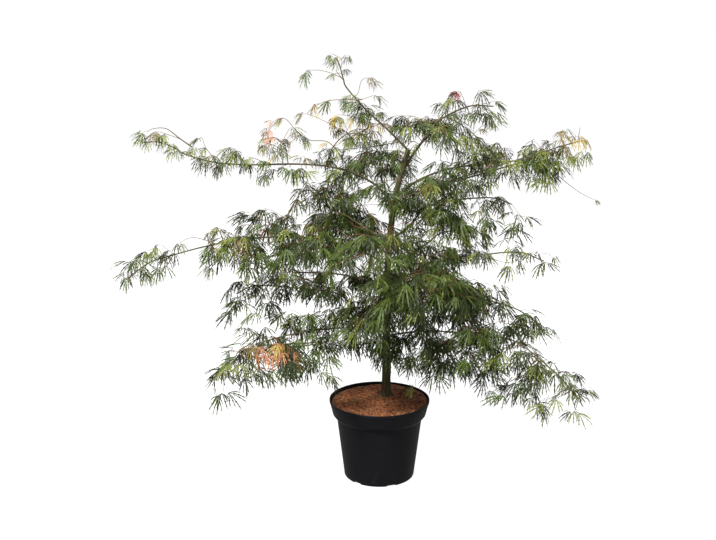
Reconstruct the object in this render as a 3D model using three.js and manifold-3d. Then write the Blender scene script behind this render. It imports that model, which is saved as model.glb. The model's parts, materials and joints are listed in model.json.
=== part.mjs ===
// A laceleaf maple grown as a small tree, standing in a round nursery pot filled with bark compost.
// Millimetres, +Z up. The origin is the middle of the pot's flat underside, +X runs to the right and +Y to the back.
// The trunk and boughs are tapering limbs, and the foliage is a set of thin uneven pads carried by the boughs.

import * as THREE from "three";
import { mergeVertices } from "three/addons/utils/BufferGeometryUtils.js";
import Module from "manifold-3d";

const wasm = await Module();
wasm.setup();

// ---------- Driving dimensions ----------

const gap = 0.3; // clearance between pieces that touch
const up = new THREE.Vector3(0, 0, 1);

const pot = {
  height: 267,
  rimRadius: 165, // outside, at the top edge
  bandRadius: 154, // outside, at the foot of the rim band
  bandDepth: 48,
  chamferDepth: 16,
  bodyRadius: 140, // outside, just under the rim band
  footRadius: 116, // outside, at the bottom corner
  cornerRadius: 8,
  wall: 2.2,
  lip: 3.2, // thickness of the rolled top edge
  lipDepth: 7,
  edge: 1, // chamfer of the top edge
  base: 3,
  sides: 36,
  notches: 6,
  notchWidth: 32,
  notchHeight: 7,
  notchTurn: 50, // degrees from +X to the first drain notch
};

const compost = { top: 257, lipClearance: 2 };

const trunk = {
  foot: new THREE.Vector3(23, 42, compost.top + gap),
  height: 831,
  lean: 66, // how far the top stands to the right of the foot
  leanFrom: 500, // height at which the stem starts to lean
  footRadius: 15.5,
  topRadius: 8,
  flare: 10, // how far the root flare stands out at the foot
  flareHeight: 22,
  ribs: 5, // surface roots in the flare
  sides: 14,
  rings: 17,
  curvePoints: 8,
};

const limb = { sides: 6, ringSpacing: 70, tipShare: 0.36, steps: 16, stepsBeyond: 4 };

// Every bough leaves the trunk at a height and follows a path of its own.
// turn: heading in degrees, 0 to the right and 90 to the back; sweep: how far the heading swings on the way.
// rise: climb in degrees at the root, half way and at the tip. reach: length of the path, foliage included.
// thick: diameter at the root. The pads of a bough sit at a distance out along that path,
// moved sideways (side, + is to the left of the heading), on along it (shift) and up (lift).
const boughs = {
  leader: {
    whip: true, from: 1084, turn: 185, sweep: 0, rise: [52, 44, 78], reach: 372, thick: 14,
    pads: {
      crest: { out: 226, side: 26, lift: -26, long: 120, wide: 110, deep: 62 },
      side_tuft: { out: 300, side: 30, shift: 84, lift: -76, long: 126, wide: 90, deep: 64, level: 1 },
      left_spray: { out: 316, shift: 76, lift: -6, long: 104, wide: 62, deep: 44, level: 1 },
      top_tuft: { out: 372, shift: -18, lift: -38, long: 62, wide: 56, deep: 84, level: 1 },
    },
  },
  right_limb: {
    from: 1010, turn: 12, sweep: 4, rise: [60, 50, 42], reach: 320, thick: 12,
    pads: {
      top: { out: 300, lift: -46, shift: 36, long: 210, wide: 180, deep: 104, level: 1 },
      under: { out: 226, lift: -96, side: -50, shift: 50, long: 190, wide: 160, deep: 84, level: 1 },
      left: { out: 190, side: 70, lift: -24, shift: -24, long: 176, wide: 150, deep: 90, level: 1 },
    },
  },
  upper_right: {
    whip: true, from: 930, turn: 4, sweep: 2, rise: [50, 4, 40], reach: 660, thick: 11,
    pads: {
      inner: { out: 120, side: -60, lift: -46, long: 200, wide: 160, deep: 84 },
      fringe: { out: 300, lift: -70, side: 20, long: 230, wide: 180, deep: 84 },
      whip: { out: 480, lift: -30, long: 200, wide: 120, deep: 86 },
      whip_tip: { out: 632, lift: -34, shift: -18, long: 120, wide: 110, deep: 110, level: 1 },
    },
  },
  upper_left: {
    whip: true, from: 905, turn: 187, sweep: 0, rise: [62, 0, 56], reach: 850, thick: 13,
    pads: {
      gold: { out: 160, side: -30, lift: 122, long: 170, wide: 130, deep: 110 },
      arc: { out: 386, lift: 50, side: -14, long: 126, wide: 90, deep: 84 },
      fringe: { out: 380, side: 20, lift: -50, long: 210, wide: 130, deep: 64 },
      cluster: { out: 580, side: -20, lift: -44, long: 190, wide: 110, deep: 84 },
      tip: { out: 806, lift: -24, long: 140, wide: 74, deep: 52, level: 1 },
    },
  },
  middle_left: {
    whip: true, from: 710, turn: 196, sweep: 2, rise: [36, 0, -16], reach: 870, thick: 12,
    pads: {
      shoulder: { out: 210, side: -70, lift: 124, long: 250, wide: 200, deep: 90 },
      inner: { out: 270, side: 40, lift: -30, long: 270, wide: 200, deep: 84 },
      outer: { out: 430, side: -30, lift: -50, long: 230, wide: 180, deep: 96 },
      tip: { out: 800, lift: -26, long: 190, wide: 110, deep: 74 },
    },
  },
  low_left: {
    from: 630, turn: 176, sweep: 10, rise: [26, 0, -20], reach: 500, thick: 11,
    pads: {
      inner: { out: 190, side: 20, lift: -70, long: 250, wide: 230, deep: 96 },
      outer: { out: 420, side: 6, lift: -50, long: 230, wide: 190, deep: 96 },
    },
  },
  bottom_left: {
    from: 505, turn: 214, sweep: -12, rise: [6, 0, -34], reach: 610, thick: 10,
    pads: {
      inner: { out: 240, lift: -60, long: 260, wide: 200, deep: 90 },
      tip: { out: 486, lift: -62, long: 290, wide: 220, deep: 100 },
    },
  },
  right_mid: {
    from: 790, turn: 10, sweep: -6, rise: [38, 14, -42], reach: 480, thick: 11,
    pads: {
      inner: { out: 170, side: 20, lift: 0, long: 230, wide: 210, deep: 90 },
      outer: { out: 384, lift: -30, long: 240, wide: 190, deep: 92 },
    },
  },
  right_low: {
    from: 680, turn: -22, sweep: 6, rise: [40, 2, -16], reach: 560, thick: 11,
    pads: {
      inner: { out: 190, side: 0, lift: -40, long: 240, wide: 210, deep: 90 },
      outer: { out: 430, lift: 4, long: 250, wide: 190, deep: 90 },
    },
  },
  lower_right: {
    from: 560, turn: -2, sweep: -6, rise: [26, 0, -28], reach: 600, thick: 10,
    pads: {
      inner: { out: 230, lift: -26, long: 240, wide: 220, deep: 90 },
      outer: { out: 450, lift: -76, long: 260, wide: 200, deep: 96 },
    },
  },
  bottom_right: {
    from: 470, turn: -36, sweep: 10, rise: [20, -4, -42], reach: 730, thick: 10,
    pads: {
      inner: { out: 210, lift: -90, long: 230, wide: 200, deep: 90 },
      middle: { out: 430, lift: -6, long: 260, wide: 210, deep: 92 },
      tip: { out: 626, lift: -44, long: 240, wide: 170, deep: 84 },
    },
  },
  front_left: {
    from: 770, turn: 262, sweep: -14, rise: [34, 6, -34], reach: 480, thick: 10,
    pads: { outer: { out: 300, lift: -10, long: 310, wide: 260, deep: 94 } },
  },
  front_right: {
    from: 640, turn: 290, sweep: 8, rise: [38, 6, -30], reach: 480, thick: 10,
    pads: {
      low: { out: 200, side: -90, lift: -110, long: 220, wide: 220, deep: 84 },
      outer: { out: 320, lift: -10, long: 300, wide: 250, deep: 94 },
    },
  },
  back_left: {
    from: 600, turn: 128, sweep: 8, rise: [34, 2, -32], reach: 560, thick: 11,
    pads: {
      upper: { out: 230, lift: 130, long: 270, wide: 250, deep: 94 },
      outer: { out: 400, long: 310, wide: 270, deep: 100 },
    },
  },
  back_right: {
    from: 640, turn: 60, sweep: -8, rise: [34, 2, -34], reach: 560, thick: 11,
    pads: {
      low: { out: 250, lift: -140, long: 280, wide: 250, deep: 94 },
      outer: { out: 390, long: 310, wide: 270, deep: 100 },
    },
  },
  back_upper: {
    from: 860, turn: 100, sweep: 6, rise: [50, 14, -28], reach: 400, thick: 10,
    pads: { outer: { out: 280, long: 270, wide: 250, deep: 94 } },
  },
};

const foliage = {
  around: 11,
  rings: 7,
  waves: 4,
  lumps: 0.16, // how far a pad's outline swells and shrinks
  sagShare: 0.16, // how far the outer end hangs, as a share of its length
  edgeSag: 0.22, // how far the side edges hang, as a share of its depth
  raise: 0.15, // lifts a pad to even out its sag, as a share of its depth
  steepest: { down: -0.7, up: 0.35 }, // limits of a pad's slope along its bough
};

// ---------- Helpers ----------

const radians = THREE.MathUtils.degToRad;

// A repeatable stream of numbers from 0 to 1, so that every pad has a shape of its own.
function stream(seed) {
  let state = seed * 2654435761;
  return () => {
    state = (Math.imul(state ^ (state >>> 15), 2246822519) + 3266489917) >>> 0;
    return state / 4294967296;
  };
}

// A closed three.js geometry as a solid that can be joined and cut.
function solidOf(geometry) {
  const bare = geometry.clone();
  for (const name of ["normal", "uv"]) bare.deleteAttribute(name);
  const merged = mergeVertices(bare, 1e-3);
  return new wasm.Manifold(
    new wasm.Mesh({
      numProp: 3,
      vertProperties: merged.attributes.position.array,
      triVerts: new Uint32Array(merged.index.array),
    }),
  );
}

function geometryOf(solid) {
  const mesh = solid.getMesh();
  return new THREE.BufferGeometry()
    .setAttribute("position", new THREE.BufferAttribute(mesh.vertProperties, 3))
    .setIndex(new THREE.BufferAttribute(mesh.triVerts, 1));
}

function distanceTo(solid, point) {
  const { vertProperties, numVert, numProp } = solid.getMesh();
  let nearest = Infinity;
  const corner = new THREE.Vector3();
  for (let i = 0; i < numVert; i++) {
    corner.fromArray(vertProperties, i * numProp);
    nearest = Math.min(nearest, corner.distanceTo(point));
  }
  return nearest;
}

// Cuts can leave crumbs: keep the largest piece, or the one nearest to a point.
function mainPiece(solid, nearTo) {
  const score = nearTo
    ? (piece) => -distanceTo(piece, nearTo)
    : (piece) => piece.volume();
  return solid.decompose().reduce((best, piece) => (score(piece) > score(best) ? piece : best));
}

function directionOf(heading, climb) {
  const flat = Math.cos(radians(climb));
  return new THREE.Vector3(
    flat * Math.cos(radians(heading)),
    flat * Math.sin(radians(heading)),
    Math.sin(radians(climb)),
  );
}

// ---------- Limbs ----------

// A tapering limb: a closed cylinder bent along a curve, whose radius is a function of the share of its length.
function limbGeometry(curve, radiusAt, sides, rings) {
  const geometry = new THREE.CylinderGeometry(1, 1, 1, sides, rings);
  const place = geometry.attributes.position;
  const point = new THREE.Vector3();
  for (let i = 0; i < place.count; i++) {
    point.fromBufferAttribute(place, i);
    const share = THREE.MathUtils.clamp(point.y + 0.5, 0, 1);
    const along = curve.getTangentAt(share);
    const across = new THREE.Vector3(0, 1, 0).cross(along).normalize();
    const over = across.clone().cross(along);
    const angle = Math.atan2(point.x, point.z);
    const radius = Math.hypot(point.x, point.z) * radiusAt(share, angle);
    const centre = curve.getPointAt(share);
    centre.addScaledVector(across, radius * Math.sin(angle));
    centre.addScaledVector(over, radius * Math.cos(angle));
    place.setXYZ(i, centre.x, centre.y, centre.z);
  }
  return geometry;
}

// The stem stands upright at first, then leans more and more to the right.
function trunkCurve() {
  const points = [];
  for (let i = 0; i <= trunk.curvePoints; i++) {
    const rise = (i / trunk.curvePoints) * trunk.height;
    const leanShare = (rise + trunk.foot.z - trunk.leanFrom) / (trunk.height + trunk.foot.z - trunk.leanFrom);
    const point = trunk.foot.clone();
    point.x += trunk.lean * Math.pow(Math.max(leanShare, 0), 3);
    point.z += rise;
    points.push(point);
  }
  return new THREE.CatmullRomCurve3(points);
}

// The stem tapers evenly, and flares into surface roots at the foot.
function trunkRadius(grow = 0) {
  return (share, angle) => {
    const stem = THREE.MathUtils.lerp(trunk.footRadius, trunk.topRadius, Math.pow(share, 0.8));
    const ribs = 0.75 + 0.25 * Math.cos(trunk.ribs * angle + 1);
    const flare = trunk.flare * ribs * Math.exp((-share * trunk.height) / trunk.flareHeight);
    return stem + flare + grow;
  };
}

function climbAt([root, middle, tip], share) {
  return (
    root * 2 * (share - 0.5) * (share - 1) -
    middle * 4 * share * (share - 1) +
    tip * 2 * share * (share - 0.5)
  );
}

// The path of a bough, stepped out from the trunk and a little past its reach.
function boughCurve(bough, start) {
  const step = bough.reach / limb.steps;
  const points = [start.clone()];
  for (let i = 0; i < limb.steps + limb.stepsBeyond; i++) {
    const share = Math.min((i + 0.5) / limb.steps, 1);
    const along = directionOf(bough.turn + bough.sweep * share, climbAt(bough.rise, share));
    points.push(points.at(-1).clone().addScaledVector(along, step));
  }
  return new THREE.CatmullRomCurve3(points);
}

function boughRadius(bough, grow = 0) {
  return (share) => (bough.thick / 2) * THREE.MathUtils.lerp(1, limb.tipShare, share) + grow;
}

// ---------- Foliage ----------

// A pad is a flattened, lumpy ball that lies along its bough's path and hangs at its outer end and its edges.
function padGeometry(curve, pad, seed, grow = 0) {
  const random = stream(seed);
  const waves = Array.from({ length: foliage.waves }, () => ({
    along: 1 + 2 * random(),
    across: 1 + 2 * random(),
    phase: 2 * Math.PI * random(),
  }));
  const share = Math.min(pad.out / curve.getLength(), 1);
  const tangent = curve.getTangentAt(share);
  if (pad.level) tangent.z = 0;
  const slope = THREE.MathUtils.clamp(tangent.z, foliage.steepest.down, foliage.steepest.up);
  const heading = tangent.clone().setZ(slope).normalize();
  const side = up.clone().cross(heading).normalize();
  const centre = curve.getPointAt(share);
  centre.addScaledVector(side, pad.side ?? 0);
  centre.addScaledVector(heading, pad.shift ?? 0);
  centre.z += pad.lift ?? 0;

  const geometry = new THREE.SphereGeometry(1, foliage.around, foliage.rings);
  const place = geometry.attributes.position;
  const ball = new THREE.Vector3();
  for (let i = 0; i < place.count; i++) {
    ball.fromBufferAttribute(place, i);
    let swell = 1;
    for (const wave of waves) {
      const turn = wave.along * ball.x * 2 + wave.across * ball.z * 2 + ball.y + wave.phase;
      swell += (foliage.lumps / 2) * Math.sin(turn);
    }
    const along = ball.x * swell;
    const across = -ball.z * swell;
    const sag =
      pad.long * foliage.sagShare * Math.pow((along + 1) / 2, 2) +
      pad.deep * foliage.edgeSag * across * across;
    const point = centre.clone();
    point.addScaledVector(heading, (along * pad.long) / 2 + grow * ball.x);
    point.addScaledVector(side, (across * pad.wide) / 2 - grow * ball.z);
    point.z += (ball.y * swell * pad.deep) / 2 + grow * ball.y - sag + pad.deep * foliage.raise;
    place.setXYZ(i, point.x, point.y, point.z);
  }
  return geometry;
}

// ---------- Pot and compost ----------

// Inside and outside of the pot share one outline: offset moves it in from the outer face.
function potOutline(offset) {
  const bandFoot = pot.height - pot.bandDepth;
  const bodyTop = bandFoot - pot.chamferDepth;
  return {
    rim: new THREE.Vector2(pot.rimRadius - offset, pot.height),
    band: new THREE.Vector2(pot.bandRadius - offset, bandFoot),
    body: new THREE.Vector2(pot.bodyRadius - offset, bodyTop),
    foot: new THREE.Vector2(pot.footRadius - offset, pot.cornerRadius),
  };
}

function lathe(outline, sides) {
  const geometry = new THREE.LatheGeometry(outline, sides);
  return geometry.rotateX(Math.PI / 2);
}

function potSolid() {
  const outer = potOutline(0);
  const inner = potOutline(pot.wall);
  const corner = [];
  for (let i = 0; i <= 3; i++) {
    const angle = radians(-90 + i * 30);
    corner.push(
      new THREE.Vector2(
        pot.footRadius - pot.cornerRadius * (1 - Math.cos(angle)),
        pot.cornerRadius * (1 + Math.sin(angle)),
      ),
    );
  }
  const lipInside = pot.rimRadius - pot.lip;
  const outline = [
    new THREE.Vector2(0, 0),
    ...corner,
    outer.body,
    outer.band,
    new THREE.Vector2(outer.rim.x, outer.rim.y - pot.edge),
    new THREE.Vector2(outer.rim.x - pot.edge, outer.rim.y),
    new THREE.Vector2(lipInside, outer.rim.y),
    new THREE.Vector2(lipInside, outer.rim.y - pot.lipDepth),
    inner.band,
    inner.body,
    new THREE.Vector2(inner.foot.x, pot.base),
    new THREE.Vector2(0, pot.base),
  ];
  let shell = solidOf(lathe(outline, pot.sides));
  for (let i = 0; i < pot.notches; i++) {
    const turn = radians(pot.notchTurn + (i * 360) / pot.notches);
    const box = new THREE.BoxGeometry(pot.cornerRadius * 3, pot.notchWidth, 2 * pot.notchHeight);
    box.translate(pot.footRadius, 0, 0).rotateZ(turn);
    shell = shell.subtract(solidOf(box));
  }
  return shell;
}

function compostSolid() {
  const inner = potOutline(pot.wall + gap);
  const lipClear = pot.rimRadius - pot.lip - compost.lipClearance;
  const outline = [
    new THREE.Vector2(0, pot.base + gap),
    new THREE.Vector2(inner.foot.x, pot.base + gap),
    inner.body,
    inner.band,
    new THREE.Vector2(lipClear, compost.top),
    new THREE.Vector2(0, compost.top),
  ];
  return solidOf(lathe(outline, pot.sides));
}

// ---------- Assembly ----------

const finishes = {
  pot: { color: 0x1f2023, roughness: 0.5 },
  compost: { color: 0x6e4227, roughness: 0.95 },
  bark: { color: 0x6b6238, roughness: 0.8 },
  leaf: { color: 0x4d6a33, roughness: 0.6 },
};

const maple = new THREE.Group();

function addPiece(name, solid, finish) {
  const material = new THREE.MeshStandardMaterial({ ...finishes[finish], metalness: 0 });
  const mesh = new THREE.Mesh(geometryOf(solid), material);
  mesh.name = name;
  maple.add(mesh);
}

const stemCurve = trunkCurve();

function stemPoint(height) {
  let low = 0;
  let high = 1;
  for (let i = 0; i < 30; i++) {
    const middle = (low + high) / 2;
    if (stemCurve.getPointAt(middle).z < height) low = middle;
    else high = middle;
  }
  return stemCurve.getPointAt(low);
}

const stem = solidOf(limbGeometry(stemCurve, trunkRadius(), trunk.sides, trunk.rings));
const stemClearance = solidOf(limbGeometry(stemCurve, trunkRadius(gap), trunk.sides, trunk.rings));

const curves = {};
for (const [name, bough] of Object.entries(boughs)) {
  curves[name] = boughCurve(bough, stemPoint(bough.from));
}

function boughSolid(name, grow) {
  const rings = Math.round(boughs[name].reach / limb.ringSpacing);
  return solidOf(limbGeometry(curves[name], boughRadius(boughs[name], grow), limb.sides, rings));
}

// A whip runs on in full view to its outermost pad: its other pads hang from it and are cut back round it.
const whipClearances = {};
for (const [name, bough] of Object.entries(boughs)) {
  if (bough.whip) whipClearances[name] = boughSolid(name, gap);
}

// Pads first: each is cut back from the trunk, the whips and the pads before it.
const padClearances = [];
const outermostPads = {};
for (const [boughName, bough] of Object.entries(boughs)) {
  const outermost = Object.keys(bough.pads).at(-1);
  for (const [padName, pad] of Object.entries(bough.pads)) {
    const seed = padClearances.length + 1;
    let mass = solidOf(padGeometry(curves[boughName], pad, seed)).subtract(stemClearance);
    for (const [whipName, whip] of Object.entries(whipClearances)) {
      if (whipName !== boughName || padName !== outermost) mass = mass.subtract(whip);
    }
    for (const earlier of padClearances) mass = mass.subtract(earlier);
    addPiece(`foliage_${boughName}_${padName}`, mainPiece(mass), "leaf");
    padClearances.push(solidOf(padGeometry(curves[boughName], pad, seed, 2 * gap)));
  }
  outermostPads[boughName] = padClearances.at(-1);
}

// A whip ends in its outermost pad, any other bough in the first pad it meets.
// All stop short of the trunk and of the boughs before them.
const boughClearances = [];
for (const [name, bough] of Object.entries(boughs)) {
  const stops = bough.whip ? [outermostPads[name]] : padClearances;
  let solid = boughSolid(name);
  for (const cutter of [stemClearance, ...stops, ...boughClearances]) solid = solid.subtract(cutter);
  addPiece(`bough_${name}`, mainPiece(solid, curves[name].getPointAt(0.02)), "bark");
  boughClearances.push(boughSolid(name, gap));
}

addPiece("trunk", stem, "bark");
addPiece("pot", potSolid(), "pot");
addPiece("compost", compostSolid(), "compost");

export default maple;
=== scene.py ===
import json
import math
from collections import namedtuple

import bpy
import numpy as np
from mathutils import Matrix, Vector, noise
from mathutils.bvhtree import BVHTree

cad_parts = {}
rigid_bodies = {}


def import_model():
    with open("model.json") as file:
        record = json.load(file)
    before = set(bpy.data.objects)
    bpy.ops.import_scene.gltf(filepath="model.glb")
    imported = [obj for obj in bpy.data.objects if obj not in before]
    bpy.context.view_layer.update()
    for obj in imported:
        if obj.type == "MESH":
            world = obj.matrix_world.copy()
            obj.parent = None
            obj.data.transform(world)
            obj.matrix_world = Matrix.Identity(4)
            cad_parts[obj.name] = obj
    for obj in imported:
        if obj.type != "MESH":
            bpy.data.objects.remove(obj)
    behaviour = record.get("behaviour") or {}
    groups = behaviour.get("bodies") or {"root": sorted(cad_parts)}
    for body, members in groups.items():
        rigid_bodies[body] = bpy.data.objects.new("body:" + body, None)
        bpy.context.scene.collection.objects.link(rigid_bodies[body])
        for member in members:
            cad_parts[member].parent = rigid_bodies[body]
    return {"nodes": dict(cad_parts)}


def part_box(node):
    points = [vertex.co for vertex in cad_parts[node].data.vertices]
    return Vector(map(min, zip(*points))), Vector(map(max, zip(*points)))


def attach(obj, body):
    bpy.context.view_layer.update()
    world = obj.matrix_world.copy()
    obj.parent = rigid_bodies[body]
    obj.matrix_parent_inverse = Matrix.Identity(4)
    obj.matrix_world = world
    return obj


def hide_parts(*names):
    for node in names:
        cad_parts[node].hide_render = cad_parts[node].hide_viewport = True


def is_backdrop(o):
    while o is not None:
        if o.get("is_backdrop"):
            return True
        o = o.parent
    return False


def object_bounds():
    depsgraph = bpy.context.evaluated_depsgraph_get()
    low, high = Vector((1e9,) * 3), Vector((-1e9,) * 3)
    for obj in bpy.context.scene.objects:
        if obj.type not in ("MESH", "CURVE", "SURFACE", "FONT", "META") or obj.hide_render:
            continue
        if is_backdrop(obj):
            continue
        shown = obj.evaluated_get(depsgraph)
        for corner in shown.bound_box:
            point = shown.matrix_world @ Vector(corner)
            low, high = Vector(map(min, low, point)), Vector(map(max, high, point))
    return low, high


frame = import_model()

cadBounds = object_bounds()
mm = 0.001
tiny = 1e-9  # keeps a division off zero
upward = Vector((0, 0, 1))


def report(stage):
    print("maple:", stage, flush=True)


def channelToLinear(value):
    return value / 12.92 if value <= 0.04045 else ((value + 0.055) / 1.055) ** 2.4


def hexColour(code):  # sRGB hex to the linear colour that sockets want
    return tuple(channelToLinear(int(code[i:i + 2], 16) / 255) for i in (1, 3, 5)) + (1.0,)


def addNode(tree, kind, inputs=None, output=0, **settings):  # a socket as an input is linked; returns an output
    node = tree.nodes.new(kind)
    for name, value in settings.items():
        setattr(node, name, value)
    for name, value in (inputs or {}).items():
        if isinstance(value, bpy.types.NodeSocket):
            tree.links.new(value, node.inputs[name])
        else:
            node.inputs[name].default_value = value
    return node.outputs[output]


def linkObject(name, data):
    thing = bpy.data.objects.new(name, data)
    bpy.context.scene.collection.objects.link(thing)
    return thing


def meshObject(name, points, faces, edges=()):
    mesh = bpy.data.meshes.new(name)
    mesh.from_pydata([tuple(p) for p in points], list(edges), [tuple(f) for f in faces])
    mesh.update()
    return linkObject(name, mesh)


def setAttribute(thing, name, values, kind="FLOAT"):
    layer = thing.data.attributes.new(name, kind, "POINT")
    layer.data.foreach_set("value", np.asarray(values, dtype=np.float32 if kind == "FLOAT" else np.int32))


def newMaterial(name):
    material = bpy.data.materials.new(name)
    material.use_nodes = True
    tree = material.node_tree
    return material, tree, tree.nodes["Principled BSDF"]


def plainMaterial(name, colour, roughness, specular=0.5):
    material, tree, shader = newMaterial(name)
    shader.inputs["Base Color"].default_value = hexColour(colour)
    shader.inputs["Roughness"].default_value = roughness
    shader.inputs["Specular IOR Level"].default_value = specular
    return material


def setRamp(colours, *stops):  # two stops of a colour ramp: position and colour
    for element, (position, colour) in zip(colours.node.color_ramp.elements, stops):
        element.position, element.color = position, hexColour(colour)


def newGeometryTree(name, inputs):  # inputs: name -> (socket type, default)
    tree = bpy.data.node_groups.new(name, "GeometryNodeTree")
    tree.is_modifier = True
    tree.interface.new_socket("Geometry", in_out="INPUT", socket_type="NodeSocketGeometry")
    tree.interface.new_socket("Geometry", in_out="OUTPUT", socket_type="NodeSocketGeometry")
    for label, (kind, default) in inputs.items():
        socket = tree.interface.new_socket(label, in_out="INPUT", socket_type=kind)
        if default is not None:
            socket.default_value = default
    return tree, tree.nodes.new("NodeGroupInput").outputs, tree.nodes.new("NodeGroupOutput").inputs


growthMarks = ("turn", "along", "girth", "flare", "facing", "size", "shape")  # attributes only used while growing


def runTree(thing, tree, values, name):  # turns an object and a tree into one plain mesh
    modifier = thing.modifiers.new("grow", "NODES")
    modifier.node_group = tree
    sockets = {item.name: item.identifier for item in tree.interface.items_tree if item.in_out == "INPUT"}
    for label, value in values.items():
        modifier[sockets[label]] = value
    bpy.context.view_layer.update()
    evaluated = thing.evaluated_get(bpy.context.evaluated_depsgraph_get())
    mesh = bpy.data.meshes.new_from_object(evaluated)
    mesh.name = name
    thing.modifiers.remove(modifier)
    bpy.data.objects.remove(thing)
    for mark in growthMarks:
        if mark in mesh.attributes:
            mesh.attributes.remove(mesh.attributes[mark])
    return linkObject(name, mesh)


cameraView = {"eye": (-0.0706, -4.0, 1.766), "pitchDown": 14.86, "lens": 64.8, "sensorWidth": 36.0}


def placeCamera(view):
    data = bpy.data.cameras.new("camera")
    data.lens = view["lens"]
    data.sensor_width = view["sensorWidth"]
    data.clip_end = 80
    camera = linkObject("camera", data)
    camera.location = view["eye"]
    camera.rotation_euler = (math.radians(90 - view["pitchDown"]), 0, 0)
    bpy.context.scene.camera = camera


studio = {
    "skyStrength": 0.3,  # of the white room, as light
    "backdropStrength": 1.0,  # of the white room, as the camera sees it behind the plant
    "lamps": {  # place, size in metres, power in watts
        "keyLamp": ((-1.8, -2.4, 4.0), 0.7, 300),
        "fillLamp": ((3.2, -2.2, 2.4), 1.6, 45),
        "backLamp": ((0.6, 3.2, 3.2), 2.0, 60),
    },
    "target": (0.0, 0.0, 0.6),
    "floorSize": 40.0,
    "floorColour": "#9a9a9a",
    "floorGlow": 0.92,  # keeps the floor as pale as the room
}


def lightStudio(setup):
    world = bpy.data.worlds.new("studio")
    bpy.context.scene.world = world
    world.use_nodes = True
    tree = world.node_tree
    seen = addNode(tree, "ShaderNodeLightPath", output="Is Camera Ray")
    strength = addNode(tree, "ShaderNodeMix", {0: seen, 2: setup["skyStrength"], 3: setup["backdropStrength"]},
                       data_type="FLOAT")
    background = tree.nodes["Background"]
    background.inputs["Color"].default_value = (1, 1, 1, 1)
    tree.links.new(strength, background.inputs["Strength"])
    bpy.context.scene.view_settings.view_transform = "Standard"
    for name, (place, size, power) in setup["lamps"].items():
        data = bpy.data.lights.new(name, "AREA")
        data.size = size
        data.energy = power
        lamp = linkObject(name, data)
        lamp.location = place
        aim = Vector(setup["target"]) - Vector(place)
        lamp.rotation_euler = aim.to_track_quat("-Z", "Y").to_euler()
    half = setup["floorSize"] / 2
    corners = [(-half, -half, 0), (half, -half, 0), (half, half, 0), (-half, half, 0)]
    floor = meshObject("floor", corners, [(0, 1, 2, 3)])
    paint = plainMaterial("matt white studio floor", setup["floorColour"], 0.9, 0.0)
    shader = paint.node_tree.nodes["Principled BSDF"]
    shader.inputs["Emission Color"].default_value = (1, 1, 1, 1)
    shader.inputs["Emission Strength"].default_value = setup["floorGlow"]
    floor.data.materials.append(paint)
    floor.visible_diffuse = floor.visible_glossy = False  # the plant is lit by the room alone
    floor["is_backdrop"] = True


placeCamera(cameraView)
lightStudio(studio)
report("camera, lights and floor")


nodes = frame["nodes"]
massNames = sorted(name for name in nodes if name.startswith("foliage_"))
boughNames = sorted(name for name in nodes if name.startswith("bough_"))


def nodePoints(name):
    mesh = nodes[name].data
    flat = np.empty(len(mesh.vertices) * 3)
    mesh.vertices.foreach_get("co", flat)
    return np.unique(flat.reshape(-1, 3).round(5), axis=0)


def ringsOf(points, measure, gap=0.012):  # a CAD limb's points lie in rings, split where the measure jumps
    order = np.argsort(measure)
    breaks = np.where(np.diff(measure[order]) > gap)[0] + 1
    return [points[group] for group in np.split(order, breaks)]


def centreLine(rings):
    centres = np.array([ring.mean(axis=0) for ring in rings])
    radii = np.array([np.linalg.norm(ring - ring.mean(axis=0), axis=1).max() for ring in rings])
    return centres, radii


def smoothLine(points, spacing):  # a Catmull-Rom curve through the points, at even spacing
    points = np.asarray(points, dtype=float)
    padded = np.vstack([2 * points[0] - points[1], points, 2 * points[-1] - points[-2]])
    fine = []
    for i in range(len(points) - 1):
        a, b, c, d = padded[i:i + 4]
        for t in np.linspace(0, 1, 12, endpoint=False):
            fine.append(0.5 * (2 * b + (c - a) * t + (2 * a - 5 * b + 4 * c - d) * t ** 2
                               + (3 * b - a - 3 * c + d) * t ** 3))
    fine.append(points[-1])
    fine = np.array(fine)
    lengths = np.concatenate([[0], np.cumsum(np.linalg.norm(np.diff(fine, axis=0), axis=1))])
    count = max(2, int(round(lengths[-1] / spacing)) + 1)
    even = np.linspace(0, lengths[-1], count)
    return np.column_stack([np.interp(even, lengths, fine[:, k]) for k in range(3)])


trunkRings = ringsOf(nodePoints("trunk"), nodePoints("trunk")[:, 2])
trunkCentres, trunkRadii = centreLine(trunkRings)


def trunkAt(height):
    x, y = (np.interp(height, trunkCentres[:, 2], trunkCentres[:, axis]) for axis in (0, 1))
    return np.array([x, y, height])


class Mass:
    def __init__(self, name):
        self.name = name
        self.tree = BVHTree.FromPolygons(
            [v.co for v in nodes[name].data.vertices], [p.vertices for p in nodes[name].data.polygons])
        points = nodePoints(name)
        self.low, self.high = points.min(axis=0), points.max(axis=0)
        self.centre = points.mean(axis=0)

    def topAndBottom(self, x, y):
        top = self.tree.ray_cast(Vector((x, y, self.high[2] + 0.1)), -upward)[0]
        bottom = self.tree.ray_cast(Vector((x, y, self.low[2] - 0.1)), upward)[0]
        return (top.z, bottom.z) if top and bottom else None


masses = {name: Mass(name) for name in massNames}
onPath = ("inner", "middle", "outer", "tip", "whip_tip", "top", "top_tuft")  # pads that their bough runs into


def boughOf(massName):
    return max((b for b in boughNames if massName.startswith(b.replace("bough", "foliage"))), key=len)


def padOf(massName, boughName):
    return massName[len(boughName.replace("bough", "foliage")) + 1:]


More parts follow.
